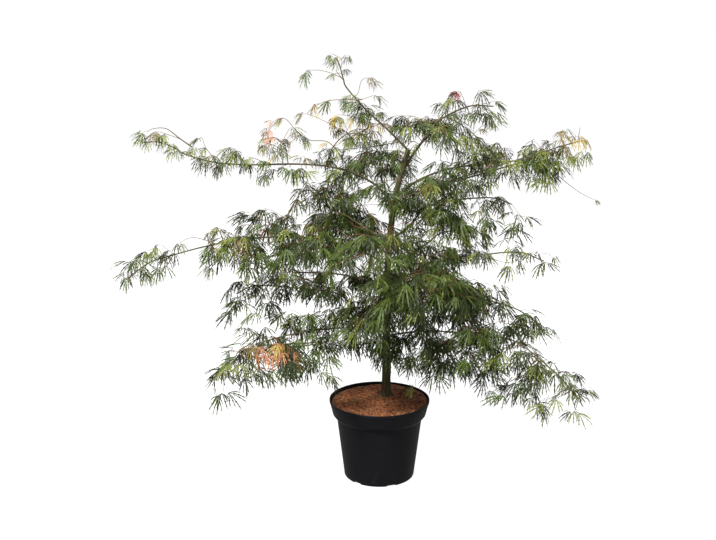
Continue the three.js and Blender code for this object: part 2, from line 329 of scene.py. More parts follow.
boughGrowth = {
    "spacing": 0.012,
    "tipRadius": 1.9 * mm,
    "slimmer": 0.62,  # a bough's root against the CAD limb's
    "slender": {"bough_right_limb": 0.6},  # boughs that are slimmer still
    "taper": 1.25,
    "massRise": 0.22,  # how far above its middle a bough crosses a mass, as a share of the mass's depth
    "closest": 0.03,  # a mass whose middle is nearer than this to the bough's end doesn't bend it
    "longLimb": 8,  # a CAD limb of more rings than this already runs through its first masses
    "lastReach": 0.62,  # how far into its last mass a bough runs on, as a share of half the mass
    "lastDrop": 0.25,  # and how far it sinks there
}


def growBough(name, growth):
    points = nodePoints(name)
    root = min(points, key=lambda p: np.linalg.norm(p - trunkAt(p[2])))
    rings = [r for r in ringsOf(points, np.linalg.norm(points - root, axis=1)) if len(r) >= 3]
    centres, radii = centreLine(rings)
    outward = (centres[1] - centres[0]) / np.linalg.norm(centres[1] - centres[0])
    start = centres[0] - outward * growth["spacing"]
    line = [trunkAt(start[2]), *centres]
    ownMasses = [masses[m] for m in massNames if boughOf(m) == name and padOf(m, name) in onPath]
    ahead = sorted(ownMasses, key=lambda m: np.linalg.norm(m.centre - root))
    if len(rings) > growth["longLimb"]:
        ahead = [m for m in ahead if np.linalg.norm(m.centre - root) > np.linalg.norm(centres[-1] - root)]
    for mass in ahead:
        point = mass.centre.copy()
        point[2] += growth["massRise"] * (mass.high[2] - mass.low[2])
        if np.linalg.norm(point - line[-1]) > growth["closest"]:
            line.append(point)
    if ahead:
        outward = line[-1] - line[-2]
        outward /= np.linalg.norm(outward)
        half = np.abs(outward) @ (ahead[-1].high - ahead[-1].low) / 2
        line.append(line[-1] + outward * half * growth["lastReach"] + np.array([0, 0, -growth["lastDrop"] * half]))
    curve = smoothLine(line, growth["spacing"])
    share = np.linspace(0, 1, len(curve))
    rootRadius = radii[1:3].mean() * growth["slimmer"] * growth["slender"].get(name, 1)
    return curve, growth["tipRadius"] + (rootRadius - growth["tipRadius"]) * (1 - share) ** growth["taper"]


boughs = {name: growBough(name, boughGrowth) for name in boughNames}
report(f"{len(boughs)} boughs read and carried on")


twigGrowth = {
    "nodeSpacing": 0.042,  # between leaf pairs
    "closest": 0.82,  # nearest that two of them may be, as a share of that spacing
    "leafRoom": 0.062,  # between the leaf nodes and the front and back of the whole plant
    "inset": 0.022,  # how far inside a mass's edge they stay, so that the leaves fill it
    "thinnest": 0.006,  # a mass that is thinner than this carries none
    "perArea": 350,  # leaf nodes for each square metre that a mass covers, seen from above
    "layer": (-0.2, 0.55),  # how deep under a mass's top the twigs run, as a share of its depth
    "nearLimb": {"from": 0.07, "upTo": 0.6, "every": 0.034, "aside": (0.025, 0.12), "above": (-0.07, 0.035)},
    "nearWhip": {  # leaves that stand along a whip itself, as shares of its length
        "every": 0.033, "aside": (0.008, 0.045), "above": (-0.005, 0.05),
        "bough_upper_left": (0.28, 0.9), "bough_upper_right": (0.1, 0.95),
        "bough_middle_left": (0.1, 0.66), "bough_leader": (0.08, 0.3),
    },
    "balance": 0.42,  # weight of the way back to the bough against the nearest neighbour
    "turnBack": 0.9,  # cost of growing back towards the trunk
    "steep": 1.3,  # cost of growing straight up or down
    "tipRadius": 0.75 * mm,
    "pointSpacing": 0.011,  # along the middle line of a finished twig
    "graftReach": 0.015,  # a known shoot that starts further from the limbs gets a joining piece
    "thicken": 0.36,
    "arch": 0.07,
    "shoot": {"step": 0.027, "bend": 19, "steepest": -74, "wander": 0.16},  # metres, degrees, radians
    "seed": 11,
}
# by the end of a mass's name: density of its twigs, fewest and most joints of a hanging shoot,
# size of its leaves, and how far its twigs are lifted
massHabit = {
    "left_spray": (0.0, 0, 0, 0.7, 0), "side_tuft": (0.0, 0, 0, 0.6, 0), "top_tuft": (0.1, 0, 0, 0.5, 0),
    "crest": (0.5, 0, 0, 0.65, 0), "gold": (1.6, 0, 1, 0.7, 0.0), "arc": (0.5, 0, 0, 0.7, 0.01),
    "upper_left_tip": (0.15, 0, 0, 0.6, 0), "upper_left_cluster": (0.3, 0, 0, 0.75, 0.035),
    "upper_left_fringe": (0.2, 0, 0, 0.8, 0.025), "whip_tip": (1.0, 0, 0, 0.75, -0.015),
    "upper_right_whip": (1.0, 0, 1, 0.85, -0.01), "upper_right_fringe": (0.45, 0, 1, 0.85, 0.03),
    "upper_right_inner": (1.0, 0, 1, 0.95, 0.01), "back_upper_outer": (1.2, 0, 2, 0.95, 0.01),
    "right_limb_top": (1.0, 0, 0, 0.8, 0), "under": (1.3, 0, 1, 0.85, 0.01),
    "right_limb_left": (1.2, 0, 1, 0.85, 0),
    "middle_left_tip": (1.5, 0, 0, 0.85, 0.015), "middle_left_outer": (0.8, 0, 1, 0.95, 0.01),
    "middle_left_inner": (0.8, 0, 1, 0.95, 0.03), "middle_left_shoulder": (1.5, 0, 2, 0.95, 0),
    "low_left_inner": (0.55, 0, 1, 1.0, 0.01), "low_left_outer": (0.8, 0, 1, 1.0, 0),
    "bottom_left_tip": (1.5, 0, 1, 1.0, 0.01), "bottom_left_inner": (0.65, 0, 1, 1.0, 0),
    "bottom_right_inner": (0.95, 0, 1, 0.95, 0.02), "bottom_right_middle": (1.6, 0, 3, 1.0, 0),
    "bottom_right_tip": (1.35, 0, 1, 0.9, 0.0), "lower_right_inner": (1.7, 0, 3, 1.0, 0),
    "lower_right_outer": (0.3, 0, 1, 0.95, 0), "right_low_outer": (0.26, 0, 1, 0.85, 0.03),
    "right_low_inner": (0.7, 0, 1, 1.0, 0.02), "right_mid_outer": (0.4, 0, 1, 0.9, 0.0),
    "right_mid_inner": (0.8, 0, 2, 0.95, 0.02), "back_right_outer": (0.4, 0, 1, 0.95, 0.03),
    "front_right_low": (1.6, 0, 3, 1.0, 0), "front_right_outer": (1.1, 0, 3, 1.0, 0),
    "front_left_outer": (0.7, 0, 2, 0.95, 0),
    "": (1.2, 0, 2, 1.0, 0),
}
# sprays that fill in between the masses: bough, middle and half size in metres, leaf nodes
fillIns = (
    ("bough_upper_right", (0.02, -0.05, 0.98), (0.06, 0.06, 0.035), 9),
    ("bough_middle_left", (-0.34, -0.02, 0.88), (0.06, 0.05, 0.03), 9),
    ("bough_leader", (-0.11, 0.03, 1.10), (0.08, 0.06, 0.05), 11),
    ("bough_leader", (-0.06, 0.01, 1.24), (0.05, 0.03, 0.03), 4),
    ("bough_bottom_right", (0.22, -0.14, 0.43), (0.11, 0.05, 0.02), 13),
    ("bough_upper_right", (0.53, 0.08, 1.04), (0.05, 0.04, 0.02), 6),
    ("bough_front_left", (-0.12, -0.05, 0.90), (0.06, 0.05, 0.03), 7),
    ("bough_bottom_left", (-0.22, -0.10, 0.52), (0.06, 0.05, 0.03), 6),
    ("bough_upper_left", (-0.26, -0.02, 1.10), (0.10, 0.04, 0.03), 4),
    ("bough_upper_left", (-0.42, -0.05, 1.09), (0.06, 0.03, 0.02), 4),
    ("bough_right_limb", (0.14, 0.03, 1.15), (0.07, 0.06, 0.04), 13),
    ("bough_right_limb", (0.05, 0.02, 1.09), (0.05, 0.06, 0.03), 6),
    ("bough_bottom_right", (0.03, -0.10, 0.51), (0.05, 0.04, 0.03), 15),
    ("bough_bottom_right", (0.42, -0.25, 0.41), (0.06, 0.05, 0.03), 9),
    ("bough_middle_left", (-0.46, -0.12, 0.80), (0.06, 0.05, 0.04), 12),
    ("bough_right_mid", (0.27, 0.00, 0.87), (0.07, 0.05, 0.03), 16),
    ("bough_bottom_left", (-0.21, -0.08, 0.57), (0.08, 0.05, 0.03), 11),
    ("bough_front_left", (0.00, -0.09, 0.82), (0.07, 0.04, 0.05), 12),
    ("bough_front_right", (0.03, -0.09, 0.67), (0.07, 0.04, 0.04), 10),
    ("bough_front_right", (0.01, -0.09, 0.58), (0.06, 0.04, 0.03), 8),
)


def habitOf(massName):
    return next(habit for end, habit in massHabit.items() if massName.endswith(end))


def scatterNodes(mass, growth, rng):
    low, high = mass.low, mass.high
    area = math.pi / 4 * (high[0] - low[0]) * (high[1] - low[1])
    density, lift = habitOf(mass.name)[0], habitOf(mass.name)[4]
    wanted = int(area * growth["perArea"] * density) + 4 if density else 0
    inset = min(growth["inset"], 0.2 * (high[0] - low[0]))
    found = np.empty((0, 3))
    for _ in range(wanted * 30):
        x, y = rng.uniform(low[0] + inset, high[0] - inset), rng.uniform(low[1] + inset, high[1] - inset)
        depth = rng.uniform(*growth["layer"])
        span = mass.topAndBottom(x, y)
        if span is None or span[0] - span[1] < growth["thinnest"]:
            continue
        point = np.array([x, y, span[0] - depth * (span[0] - span[1])])
        nearest = np.linalg.norm(found - point, axis=1).min() if len(found) else np.inf
        if nearest >= growth["nodeSpacing"] * growth["closest"]:
            found = np.vstack([found, point])
        if len(found) >= wanted:
            break
    return found + np.array([0, 0, lift])


def scatterNearLimb(name, line, growth, rng):  # short twigs on the limb itself
    whip = growth["nearWhip"].get(name)
    near = growth["nearWhip"] if whip else growth["nearLimb"]
    length = boughGrowth["spacing"] * (len(line) - 1)
    start, stop = (length * whip[0], length * whip[1]) if whip else (near["from"], near["upTo"] * length)
    found = []
    for out in np.arange(start, stop, near["every"]):
        at = min(int(out / boughGrowth["spacing"]), len(line) - 2)
        ahead = line[at + 1] - line[at]
        across = np.array([-ahead[1], ahead[0], 0]) / (np.hypot(ahead[0], ahead[1]) + tiny)
        aside = rng.uniform(*near["aside"]) * rng.choice((-1, 1))
        above = np.array([0, 0, rng.uniform(*near["above"])])
        found.append(line[at] + across * aside + above + ahead * rng.uniform(0, 3))
    return np.array(found).reshape(-1, 3)


def keepInside(points, growth):  # leaves reach past their nodes, which stay clear of the box's front and back
    low, high = cadBounds[0][1] + growth["leafRoom"], cadBounds[1][1] - growth["leafRoom"]
    points[:, 1] = np.clip(points[:, 1], low, high)
    return points


def joinNodes(limb, scattered, growth):  # nearest-neighbour tree, balanced by the way back to the limb
    points = np.vstack([limb, scattered])
    count, first = len(points), len(limb)
    parent = np.full(count, -1)
    wayBack = np.zeros(count)
    heading = np.zeros((count, 3))
    heading[:first] = np.gradient(limb, axis=0)
    heading[:first] /= np.linalg.norm(heading[:first], axis=1, keepdims=True) + tiny
    best = np.full(count, np.inf)
    bestParent = np.full(count, -1)
    waiting = np.arange(count) >= first

    def offer(index):
        step = points - points[index]
        distance = np.linalg.norm(step, axis=1) + tiny
        backward = np.clip(0.25 - (step @ heading[index]) / distance, 0, None)
        upright = np.clip(np.abs(step[:, 2]) / distance - 0.55, 0, None)
        dearer = 1 + growth["turnBack"] * backward + growth["steep"] * upright
        cost = distance * dearer + growth["balance"] * wayBack[index]
        better = waiting & (cost < best)
        best[better] = cost[better]
        bestParent[better] = index

    for index in range(first):
        offer(index)
    for _ in range(count - first):
        index = int(np.argmin(np.where(waiting, best, np.inf)))
        waiting[index] = False
        parent[index] = bestParent[index]
        step = points[index] - points[parent[index]]
        length = np.linalg.norm(step)
        wayBack[index] = wayBack[parent[index]] + length
        heading[index] = step / (length + tiny)
        offer(index)
    return points, parent, first


def splitChains(parent, first):  # each chain follows its heaviest child, and the others branch off it
    children = [[] for _ in parent]
    for index in range(first, len(parent)):
        children[parent[index]].append(index)
    weight = np.ones(len(parent))
    stack = list(range(first))
    sequence = []
    while stack:
        sequence.append(stack.pop())
        stack.extend(children[sequence[-1]])
    for index in reversed(sequence):
        weight[index] += sum(weight[child] for child in children[index])
    chains = []
    starts = [(index, child) for index in range(first) for child in children[index]]
    while starts:
        origin, index = starts.pop(0)
        chain = [origin, index]
        while children[index]:
            following = max(children[index], key=lambda c: weight[c])
            starts.extend((index, child) for child in children[index] if child != following)
            index = following
            chain.append(index)
        chains.append(chain)
    return chains, weight


def shapeChain(chain, placed, points, arch):  # eases the corners and bows the twig upwards
    line = np.array([placed.get(chain[0], points[chain[0]])] + [points[i] for i in chain[1:]])
    for _ in range(2):
        if len(line) > 2:
            line[1:-1] += 0.5 * ((line[:-2] + line[2:]) / 2 - line[1:-1])
    span = np.linalg.norm(line[-1] - line[0])
    share = np.linspace(0, 1, len(line))
    line[:, 2] += arch * span * 4 * share * (1 - share)
    for index, point in zip(chain[1:], line[1:]):
        placed[index] = point
    return line


def hangingShoot(line, joints, shoot, rng):  # a twig's end carries on outwards and bends down
    ahead = (line[-1] - line[-2]) / np.linalg.norm(line[-1] - line[-2])
    course = math.atan2(ahead[1], ahead[0])
    climb = math.degrees(math.asin(ahead[2]))
    points = [line[-1]]
    for _ in range(joints):
        climb = max(climb - shoot["bend"] * rng.uniform(0.7, 1.3), shoot["steepest"])
        course += rng.normal(0, shoot["wander"])
        flat = math.cos(math.radians(climb))
        step = np.array([flat * math.cos(course), flat * math.sin(course), math.sin(math.radians(climb))])
        points.append(points[-1] + step * shoot["step"] * rng.uniform(0.85, 1.15))
    return np.array(points[1:]).reshape(-1, 3)


# shoots that stand out from the crown, from root to tip: places in metres, root radius in mm,
# how many of the last points carry leaves, their size and tint
knownShoots = {
    "leaderTuft": ([(-0.12, 0.02, 1.34), (-0.12, 0.02, 1.37), (-0.13, 0.02, 1.38), (-0.15, 0.02, 1.39)],
                   1.0, 2, 0.5, "green fresh"),
    "leaderHook": ([(-0.07, 0.02, 1.27), (-0.06, 0.00, 1.31), (-0.04, -0.01, 1.32), (-0.03, -0.02, 1.31)],
                   0.9, 2, 0.5, "green bronze"),
    "leaderStub": ([(-0.12, 0.02, 1.31), (-0.14, 0.02, 1.34)], 1.5, 0, 0, ""),
    "leaderLeft": ([(-0.12, 0.02, 1.31), (-0.15, 0.02, 1.33), (-0.19, 0.02, 1.34), (-0.22, 0.02, 1.34)],
                   1.1, 1, 0.8, "bronze"),
    "leaderSide": ([(-0.06, 0.02, 1.25), (-0.09, 0.01, 1.25), (-0.15, -0.00, 1.25), (-0.19, -0.01, 1.24),
                    (-0.23, -0.02, 1.21)], 1.4, 4, 0.8, "bronze gold green"),
    "leaderSideEnd": ([(-0.23, -0.02, 1.21), (-0.20, -0.02, 1.20), (-0.16, -0.02, 1.18)],
                      0.7, 1, 0.6, "gold bronze"),
    "goldSpray": ([(0.03, 0.01, 1.17), (-0.03, -0.01, 1.18), (-0.08, -0.02, 1.20), (-0.12, -0.04, 1.21)],
                  1.4, 3, 0.6, "gold fresh gold"),
    "salmonArc": ([(-0.11, 0.00, 1.05), (-0.16, -0.02, 1.12), (-0.22, -0.03, 1.13), (-0.26, -0.04, 1.16),
                   (-0.30, -0.04, 1.20), (-0.34, -0.05, 1.17), (-0.35, -0.06, 1.14)], 1.6, 6, 0.55,
                  "gold fresh bronze orange"),
    "arcTip": ([(-0.30, -0.04, 1.20), (-0.33, -0.05, 1.19), (-0.35, -0.05, 1.16)],
               0.9, 2, 0.5, "bronze red orange"),
    "leftWhipEnd": ([(-0.58, -0.06, 1.11), (-0.62, -0.06, 1.14), (-0.66, -0.06, 1.17), (-0.70, -0.06, 1.17),
                     (-0.72, -0.06, 1.16)], 2.3, 1, 0.7, "green"),
    "leftWhipEndBelow": ([(-0.62, -0.06, 1.14), (-0.65, -0.06, 1.15), (-0.68, -0.06, 1.16)],
                         1.2, 2, 0.7, "bronze"),
    "leftWhipUp": ([(-0.52, -0.06, 1.09), (-0.54, -0.06, 1.11), (-0.55, -0.06, 1.14)], 1.2, 2, 0.6, "fresh"),
    "redSprig": ([(0.27, 0.06, 1.22), (0.26, 0.06, 1.25), (0.25, 0.06, 1.27)], 1.1, 1, 0.55, "red"),
    "paleSprig": ([(0.27, 0.06, 1.10), (0.31, 0.06, 1.15), (0.34, 0.06, 1.17)], 1.0, 2, 0.5, "gold fresh"),
    "rightStub": ([(0.63, 0.10, 1.11), (0.64, 0.10, 1.15)], 1.4, 0, 0, ""),
    "rightLowTwig": ([(0.52, 0.07, 1.04), (0.57, 0.07, 1.00), (0.62, 0.07, 0.96), (0.65, 0.07, 0.94),
                      (0.69, 0.07, 0.92)], 1.4, 1, 0.35, "green"),
    "leftLoop": ([(-0.50, -0.14, 0.82), (-0.54, -0.15, 0.84), (-0.58, -0.16, 0.85), (-0.61, -0.18, 0.84),
                  (-0.63, -0.19, 0.82)], 1.3, 2, 0.8, "green"),
    "leftRiser": ([(-0.43, -0.11, 0.82), (-0.47, -0.11, 0.85), (-0.50, -0.12, 0.87), (-0.52, -0.12, 0.86)],
                  1.2, 3, 0.7, "bronze"),
    "leftRiserInner": ([(-0.35, -0.11, 0.83), (-0.39, -0.11, 0.86), (-0.40, -0.12, 0.88),
                        (-0.42, -0.12, 0.88)], 1.2, 3, 0.75, "green"),
    "lowSprig": ([(0.06, -0.10, 0.47), (0.09, -0.14, 0.43), (0.11, -0.15, 0.39), (0.11, -0.15, 0.36)],
                 1.0, 1, 0.8, "fresh"),
    "leftBow": ([(-0.17, -0.03, 0.68), (-0.25, -0.06, 0.69), (-0.32, -0.08, 0.68), (-0.37, -0.10, 0.64),
                 (-0.39, -0.12, 0.60)], 2.0, 2, 0.95, "green"),
    "rightSpur": ([(0.40, 0.00, 0.73), (0.45, 0.00, 0.74), (0.49, 0.00, 0.75), (0.53, 0.00, 0.76),
                   (0.55, 0.00, 0.75)], 1.0, 1, 0.6, "green"),
}

LeafNode = namedtuple("LeafNode", "place heading spray atTip mass size tint")
twigLines, twigGirths, leafNodes = [], [], []


def addSpray(line, girth, leafy, owners, size, tint=""):  # leafy: from which point on a twig has leaves
    fine = smoothLine(line, twigGrowth["pointSpacing"])
    twigLines.append(fine)
    twigGirths.append(np.interp(np.linspace(0, 1, len(fine)), np.linspace(0, 1, len(girth)), girth))
    for k in range(leafy, len(line)):
        ahead = line[min(k + 1, len(line) - 1)] - line[k - 1]
        leafNodes.append(LeafNode(line[k], ahead, len(twigLines), k == len(line) - 1, owners[k], size, tint))


for order, boughName in enumerate(boughNames):
    rng = np.random.default_rng((twigGrowth["seed"], order))
    limbLine = boughs[boughName][0]
    ownNames = [name for name in massNames if boughOf(name) == boughName]
    scattered = [scatterNodes(masses[name], twigGrowth, rng) for name in ownNames]
    owners = [name for name, found in zip(ownNames, scattered) for _ in found]
    near = scatterNearLimb(boughName, limbLine, twigGrowth, rng)
    for ownBough, middle, half, count in fillIns:
        if ownBough == boughName:
            near = np.vstack([near, np.array(middle) + rng.uniform(-1, 1, (count, 3)) * half])
    owners += [min(ownNames, key=lambda name: np.linalg.norm(masses[name].centre - place)) for place in near]
    scattered = keepInside(np.vstack([*scattered, near]), twigGrowth)
    points, parent, first = joinNodes(limbLine[3:], scattered, twigGrowth)
    chains, weight = splitChains(parent, first)
    placed = {}
    for chain in chains:
        line = shapeChain(chain, placed, points, twigGrowth["arch"])
        along = [owners[max(index - first, 0)] for index in chain]
        fewest, most, size = habitOf(along[-1])[1:4]
        joints = rng.integers(fewest, most + 1)
        line = keepInside(np.vstack([line, hangingShoot(line, joints, twigGrowth["shoot"], rng)]), twigGrowth)
        girth = twigGrowth["tipRadius"] * weight[chain[1:]] ** twigGrowth["thicken"]
        girth = np.concatenate([[girth[0]], girth, [girth[-1] * 0.85] * joints])
        addSpray(line, girth, 1, along + [along[-1]] * joints, size)

limbPoints = np.vstack([bough[0] for bough in boughs.values()] + twigLines)
for places, rootRadius, leaves, size, tint in knownShoots.values():
    line = np.array(places)
    nearest = limbPoints[np.linalg.norm(limbPoints - line[0], axis=1).argmin()]
    gap = np.linalg.norm(nearest - line[0])
    line = np.vstack([nearest, line[1:] if gap < twigGrowth["graftReach"] else line])
    limbPoints = np.vstack([limbPoints, smoothLine(line, twigGrowth["pointSpacing"])])
    girth = np.linspace(rootRadius * mm, twigGrowth["tipRadius"], len(line))
    addSpray(line, girth, len(line) - leaves, [""] * len(line), size, tint)
report(f"{len(twigLines)} twigs with {len(leafNodes)} leaf nodes")


def limbSkinTree():  # one tree makes the skins of trunk, boughs and twigs from their middle lines
    tree, given, result = newGeometryTree("limbSkin", {
        "Sides": ("NodeSocketInt", 12),
        "Bark relief": ("NodeSocketFloat", 0.0),
        "Grooves round": ("NodeSocketFloat", 2.0),
        "Grooves along": ("NodeSocketFloat", 30.0),
        "Flare ribs": ("NodeSocketFloat", 5.0),
        "Material": ("NodeSocketMaterial", None),
    })
    spline = tree.nodes.new("GeometryNodeSplineParameter").outputs
    curve = addNode(tree, "GeometryNodeMeshToCurve", {"Mesh": given["Geometry"]})
    curve = addNode(tree, "GeometryNodeStoreNamedAttribute",
                    {"Geometry": curve, "Name": "along", "Value": spline["Length"]},
                    data_type="FLOAT", domain="POINT")
    circle = addNode(tree, "GeometryNodeCurvePrimitiveCircle", {"Resolution": given["Sides"], "Radius": 1.0})
    fullTurn = addNode(tree, "ShaderNodeMath", {0: spline["Factor"], 1: 2 * math.pi}, operation="MULTIPLY")
    circle = addNode(tree, "GeometryNodeStoreNamedAttribute",
                     {"Geometry": circle, "Name": "turn", "Value": fullTurn}, data_type="FLOAT", domain="POINT")
    turn, along, girth, foot = (
        addNode(tree, "GeometryNodeInputNamedAttribute", {"Name": label}, data_type="FLOAT")
        for label in ("turn", "along", "girth", "flare"))
    skin = addNode(tree, "GeometryNodeCurveToMesh",
                   {"Curve": curve, "Profile Curve": circle, "Scale": girth, "Fill Caps": True})
    # grooves: noise that is drawn out along the limb and closes up around it
    across = [addNode(tree, "ShaderNodeMath", {0: turn}, operation=wave) for wave in ("COSINE", "SINE")]
    across = [addNode(tree, "ShaderNodeMath", {0: wave, 1: given["Grooves round"]}, operation="MULTIPLY")
              for wave in across]
    onward = addNode(tree, "ShaderNodeMath", {0: along, 1: given["Grooves along"]}, operation="MULTIPLY")
    wrapped = addNode(tree, "ShaderNodeCombineXYZ", {"X": across[0], "Y": across[1], "Z": onward})
    rough = addNode(tree, "ShaderNodeTexNoise", {"Vector": wrapped, "Scale": 1.0, "Detail": 4.0})
    rough = addNode(tree, "ShaderNodeMath", {0: rough, 1: 0.5}, operation="SUBTRACT")
    # the foot spreads into ribs, where the main roots leave it
    ribs = addNode(tree, "ShaderNodeMath", {0: turn, 1: given["Flare ribs"]}, operation="MULTIPLY")
    ribs = addNode(tree, "ShaderNodeMath", {0: ribs, 1: 1.0}, operation="ADD")
    ribs = addNode(tree, "ShaderNodeMath", {0: ribs}, operation="COSINE")
    ribs = addNode(tree, "ShaderNodeMath", {0: ribs, 1: 0.25}, operation="MULTIPLY")
    ribs = addNode(tree, "ShaderNodeMath", {0: ribs, 1: 0.75}, operation="ADD")
    foot = addNode(tree, "ShaderNodeMath", {0: foot, 1: ribs}, operation="MULTIPLY")
    offset = addNode(tree, "ShaderNodeMath", {0: rough, 1: given["Bark relief"]}, operation="MULTIPLY")
    offset = addNode(tree, "ShaderNodeMath", {0: offset, 1: foot}, operation="ADD")
    normal = addNode(tree, "GeometryNodeInputNormal")
    push = addNode(tree, "ShaderNodeVectorMath", {0: normal, "Scale": offset}, operation="SCALE")
    skin = addNode(tree, "GeometryNodeSetPosition", {"Geometry": skin, "Offset": push})
    skin = addNode(tree, "GeometryNodeSetShadeSmooth", {0: skin, "Shade Smooth": True})
    skin = addNode(tree, "GeometryNodeRealizeInstances", {"Geometry": skin})
    skin = addNode(tree, "GeometryNodeSetMaterial", {"Geometry": skin, "Material": given["Material"]})
    tree.links.new(skin, result[0])
    return tree


limbSkin = limbSkinTree()


def limbObject(name, lines, girths, flares, values):
    points = np.vstack(lines)
    edges, at = [], 0
    for line in lines:
        edges += [(at + i, at + i + 1) for i in range(len(line) - 1)]
        at += len(line)
    source = meshObject(name + "_line", points, [], edges)
    setAttribute(source, "girth", np.concatenate(girths))
    setAttribute(source, "flare", np.concatenate(flares))
    return runTree(source, limbSkin, values, name)


# smooth young maple bark: olive green brown, with fine fissures along the stem and pale lenticels
def barkMaterial():
    material, tree, shader = newMaterial("smooth young maple bark")
    place = addNode(tree, "ShaderNodeTexCoord", output="Object")
    fissureWidth, lenticel = 2.2 * mm, 5.0 * mm
    long = addNode(tree, "ShaderNodeMapping", {"Vector": place, "Scale": (1, 1, 0.16)})
    fissures = addNode(tree, "ShaderNodeTexNoise", {"Vector": long, "Scale": 0.35 / fissureWidth, "Detail": 5.0})
    wide = addNode(tree, "ShaderNodeMapping", {"Vector": place, "Scale": (1, 1, 2.6)})
    spots = addNode(tree, "ShaderNodeTexVoronoi", {"Vector": wide, "Scale": 0.5 / lenticel}, "Distance")
    brown = addNode(tree, "ShaderNodeValToRGB", {"Fac": fissures})
    setRamp(brown, (0.32, "#352d1b"), (0.68, "#6d6340"))
    # algae tint the lower stem green, in patches
    green = addNode(tree, "ShaderNodeTexNoise", {"Vector": place, "Scale": 9.0, "Detail": 2.0})
    green = addNode(tree, "ShaderNodeMapRange",
                    {"Value": green, "From Min": 0.4, "From Max": 0.62, "To Max": 0.55})
    height = addNode(tree, "ShaderNodeSeparateXYZ", {0: place}, "Z")
    low = addNode(tree, "ShaderNodeMapRange",
                  {"Value": height, "From Min": 0.9, "From Max": 0.65, "To Min": 0.1})
    green = addNode(tree, "ShaderNodeMath", {0: green, 1: low}, operation="MULTIPLY")
    mossy = addNode(tree, "ShaderNodeMix", {0: green, 6: brown, 7: hexColour("#4a5429")}, 2, data_type="RGBA")
    spots = addNode(tree, "ShaderNodeMapRange",
                    {"Value": spots, "From Min": 0.16, "From Max": 0.08, "To Max": 0.6})
    colour = addNode(tree, "ShaderNodeMix", {0: spots, 6: mossy, 7: hexColour("#8a8263")}, 2, data_type="RGBA")
    tree.links.new(colour, shader.inputs["Base Color"])
    roughness = addNode(tree, "ShaderNodeMapRange", {"Value": fissures, "To Min": 0.82, "To Max": 0.6})
    tree.links.new(roughness, shader.inputs["Roughness"])
    bump = addNode(tree, "ShaderNodeBump", {"Height": fissures, "Strength": 0.35, "Distance": 0.6 * mm})
    tree.links.new(bump, shader.inputs["Normal"])
    return material


bark = barkMaterial()

trunkSkin = {
    "sides": 56, "spacing": 3.5 * mm, "relief": 1.5 * mm, "round": 2.6, "along": 26.0,
    "footShare": 0.8,  # of the CAD trunk's root flare
    "footHeights": ((0.022, 1.0), (0.06, 0.25)),  # how high the flare fades, and its weight there
}


def makeTrunk(setup):
    line = smoothLine(trunkCentres, setup["spacing"])
    height = line[:, 2] - line[0, 2]
    stem = np.interp(line[:, 2], trunkCentres[3:, 2], trunkRadii[3:])
    foot = (trunkRadii[0] - stem[0]) * setup["footShare"]
    flare = sum(foot * weight * np.exp(-height / fade) for fade, weight in setup["footHeights"])
    return limbObject("trunk_bark", [line], [stem], [np.maximum(flare, 0)], {
        "Sides": setup["sides"], "Bark relief": setup["relief"], "Grooves round": setup["round"],
        "Grooves along": setup["along"], "Material": bark})


boughSkin = {
    "sides": 20, "spacing": 6 * mm, "relief": 0.9 * mm, "round": 1.6, "along": 34.0,
    "knots": {"apart": 0.055, "swelling": 0.10, "length": 0.07},  # old leaf nodes: metres, then shares
}


def makeBoughs(setup):
    lines, girths = [], []
    for line, radius in boughs.values():
        fine = smoothLine(line, setup["spacing"])
        girth = np.interp(np.linspace(0, 1, len(fine)), np.linspace(0, 1, len(radius)), radius)
        knots = setup["knots"]
        fromKnot = np.arange(len(fine)) * setup["spacing"] / knots["apart"] % 1 - 0.5
        girth = girth * (1 + knots["swelling"] * np.exp(-(fromKnot / knots["length"]) ** 2))
        lines.append(fine)
        girths.append(girth)
    return limbObject("bough_bark", lines, girths, [np.zeros(len(g)) for g in girths], {
        "Sides": setup["sides"], "Bark relief": setup["relief"], "Grooves round": setup["round"],
        "Grooves along": setup["along"], "Material": bark})


trunkPiece = makeTrunk(trunkSkin)
boughPiece = makeBoughs(boughSkin)

# thin shoots, dull and smooth: last year's wood is olive brown, this year's is tan to reddish
twigSkin = {
    "sides": 5,
    "youngBelow": 1.5 * mm,  # root radius under which a twig is this year's
    "tints": {"twigs_old": ("olive brown maple twig", "#5a4c2c", 0.6),
              "twigs_young": ("tan to reddish maple shoot", "#775535", 0.6)},
}
twigPieces = []
for name, (wood, colour, roughness) in twigSkin["tints"].items():
    young = name == "twigs_young"
    chosen = [i for i, girth in enumerate(twigGirths) if (girth[0] < twigSkin["youngBelow"]) == young]
    twigPieces.append(limbObject(name, [twigLines[i] for i in chosen], [twigGirths[i] for i in chosen],
                                 [np.zeros(len(twigGirths[i])) for i in chosen],
                                 {"Sides": twigSkin["sides"], "Material": plainMaterial(wood, colour, roughness)}))
report("bark and twigs")


leafShape = {
    "petiole": 0.024,
    "bladeLength": 0.066,
    # fan angle and share of the blade's length of each lobe
    "lobes": ((0, 1.0), (-18, 0.96), (18, 0.96), (-38, 0.84), (38, 0.84), (-62, 0.56), (62, 0.56)),
    "fanStray": 9,
    "droopStray": 9,  # how far a lobe hangs out of its leaf's plane, in degrees
    "halfWidths": (0.5 * mm, 1.3 * mm, 1.9 * mm, 1.5 * mm, 0.0),  # of a lobe, from its foot to its tip
    "toothLength": (5.5 * mm, 7.5 * mm, 6.0 * mm),
    "toothedLobes": 5,  # the outermost two are plain
    "toothBase": 3.2 * mm,
    "toothLean": 31,  # degrees from the lobe's own direction
    "roll": 0.8,  # how far a lobe may turn about its own length
    "droops": (26, 40, 52, 64, 46, 72, 34, 58),  # how far below level each leaf variant hangs, in degrees
    "bend": 22,  # how much further a lobe bows down by its tip, in degrees
}


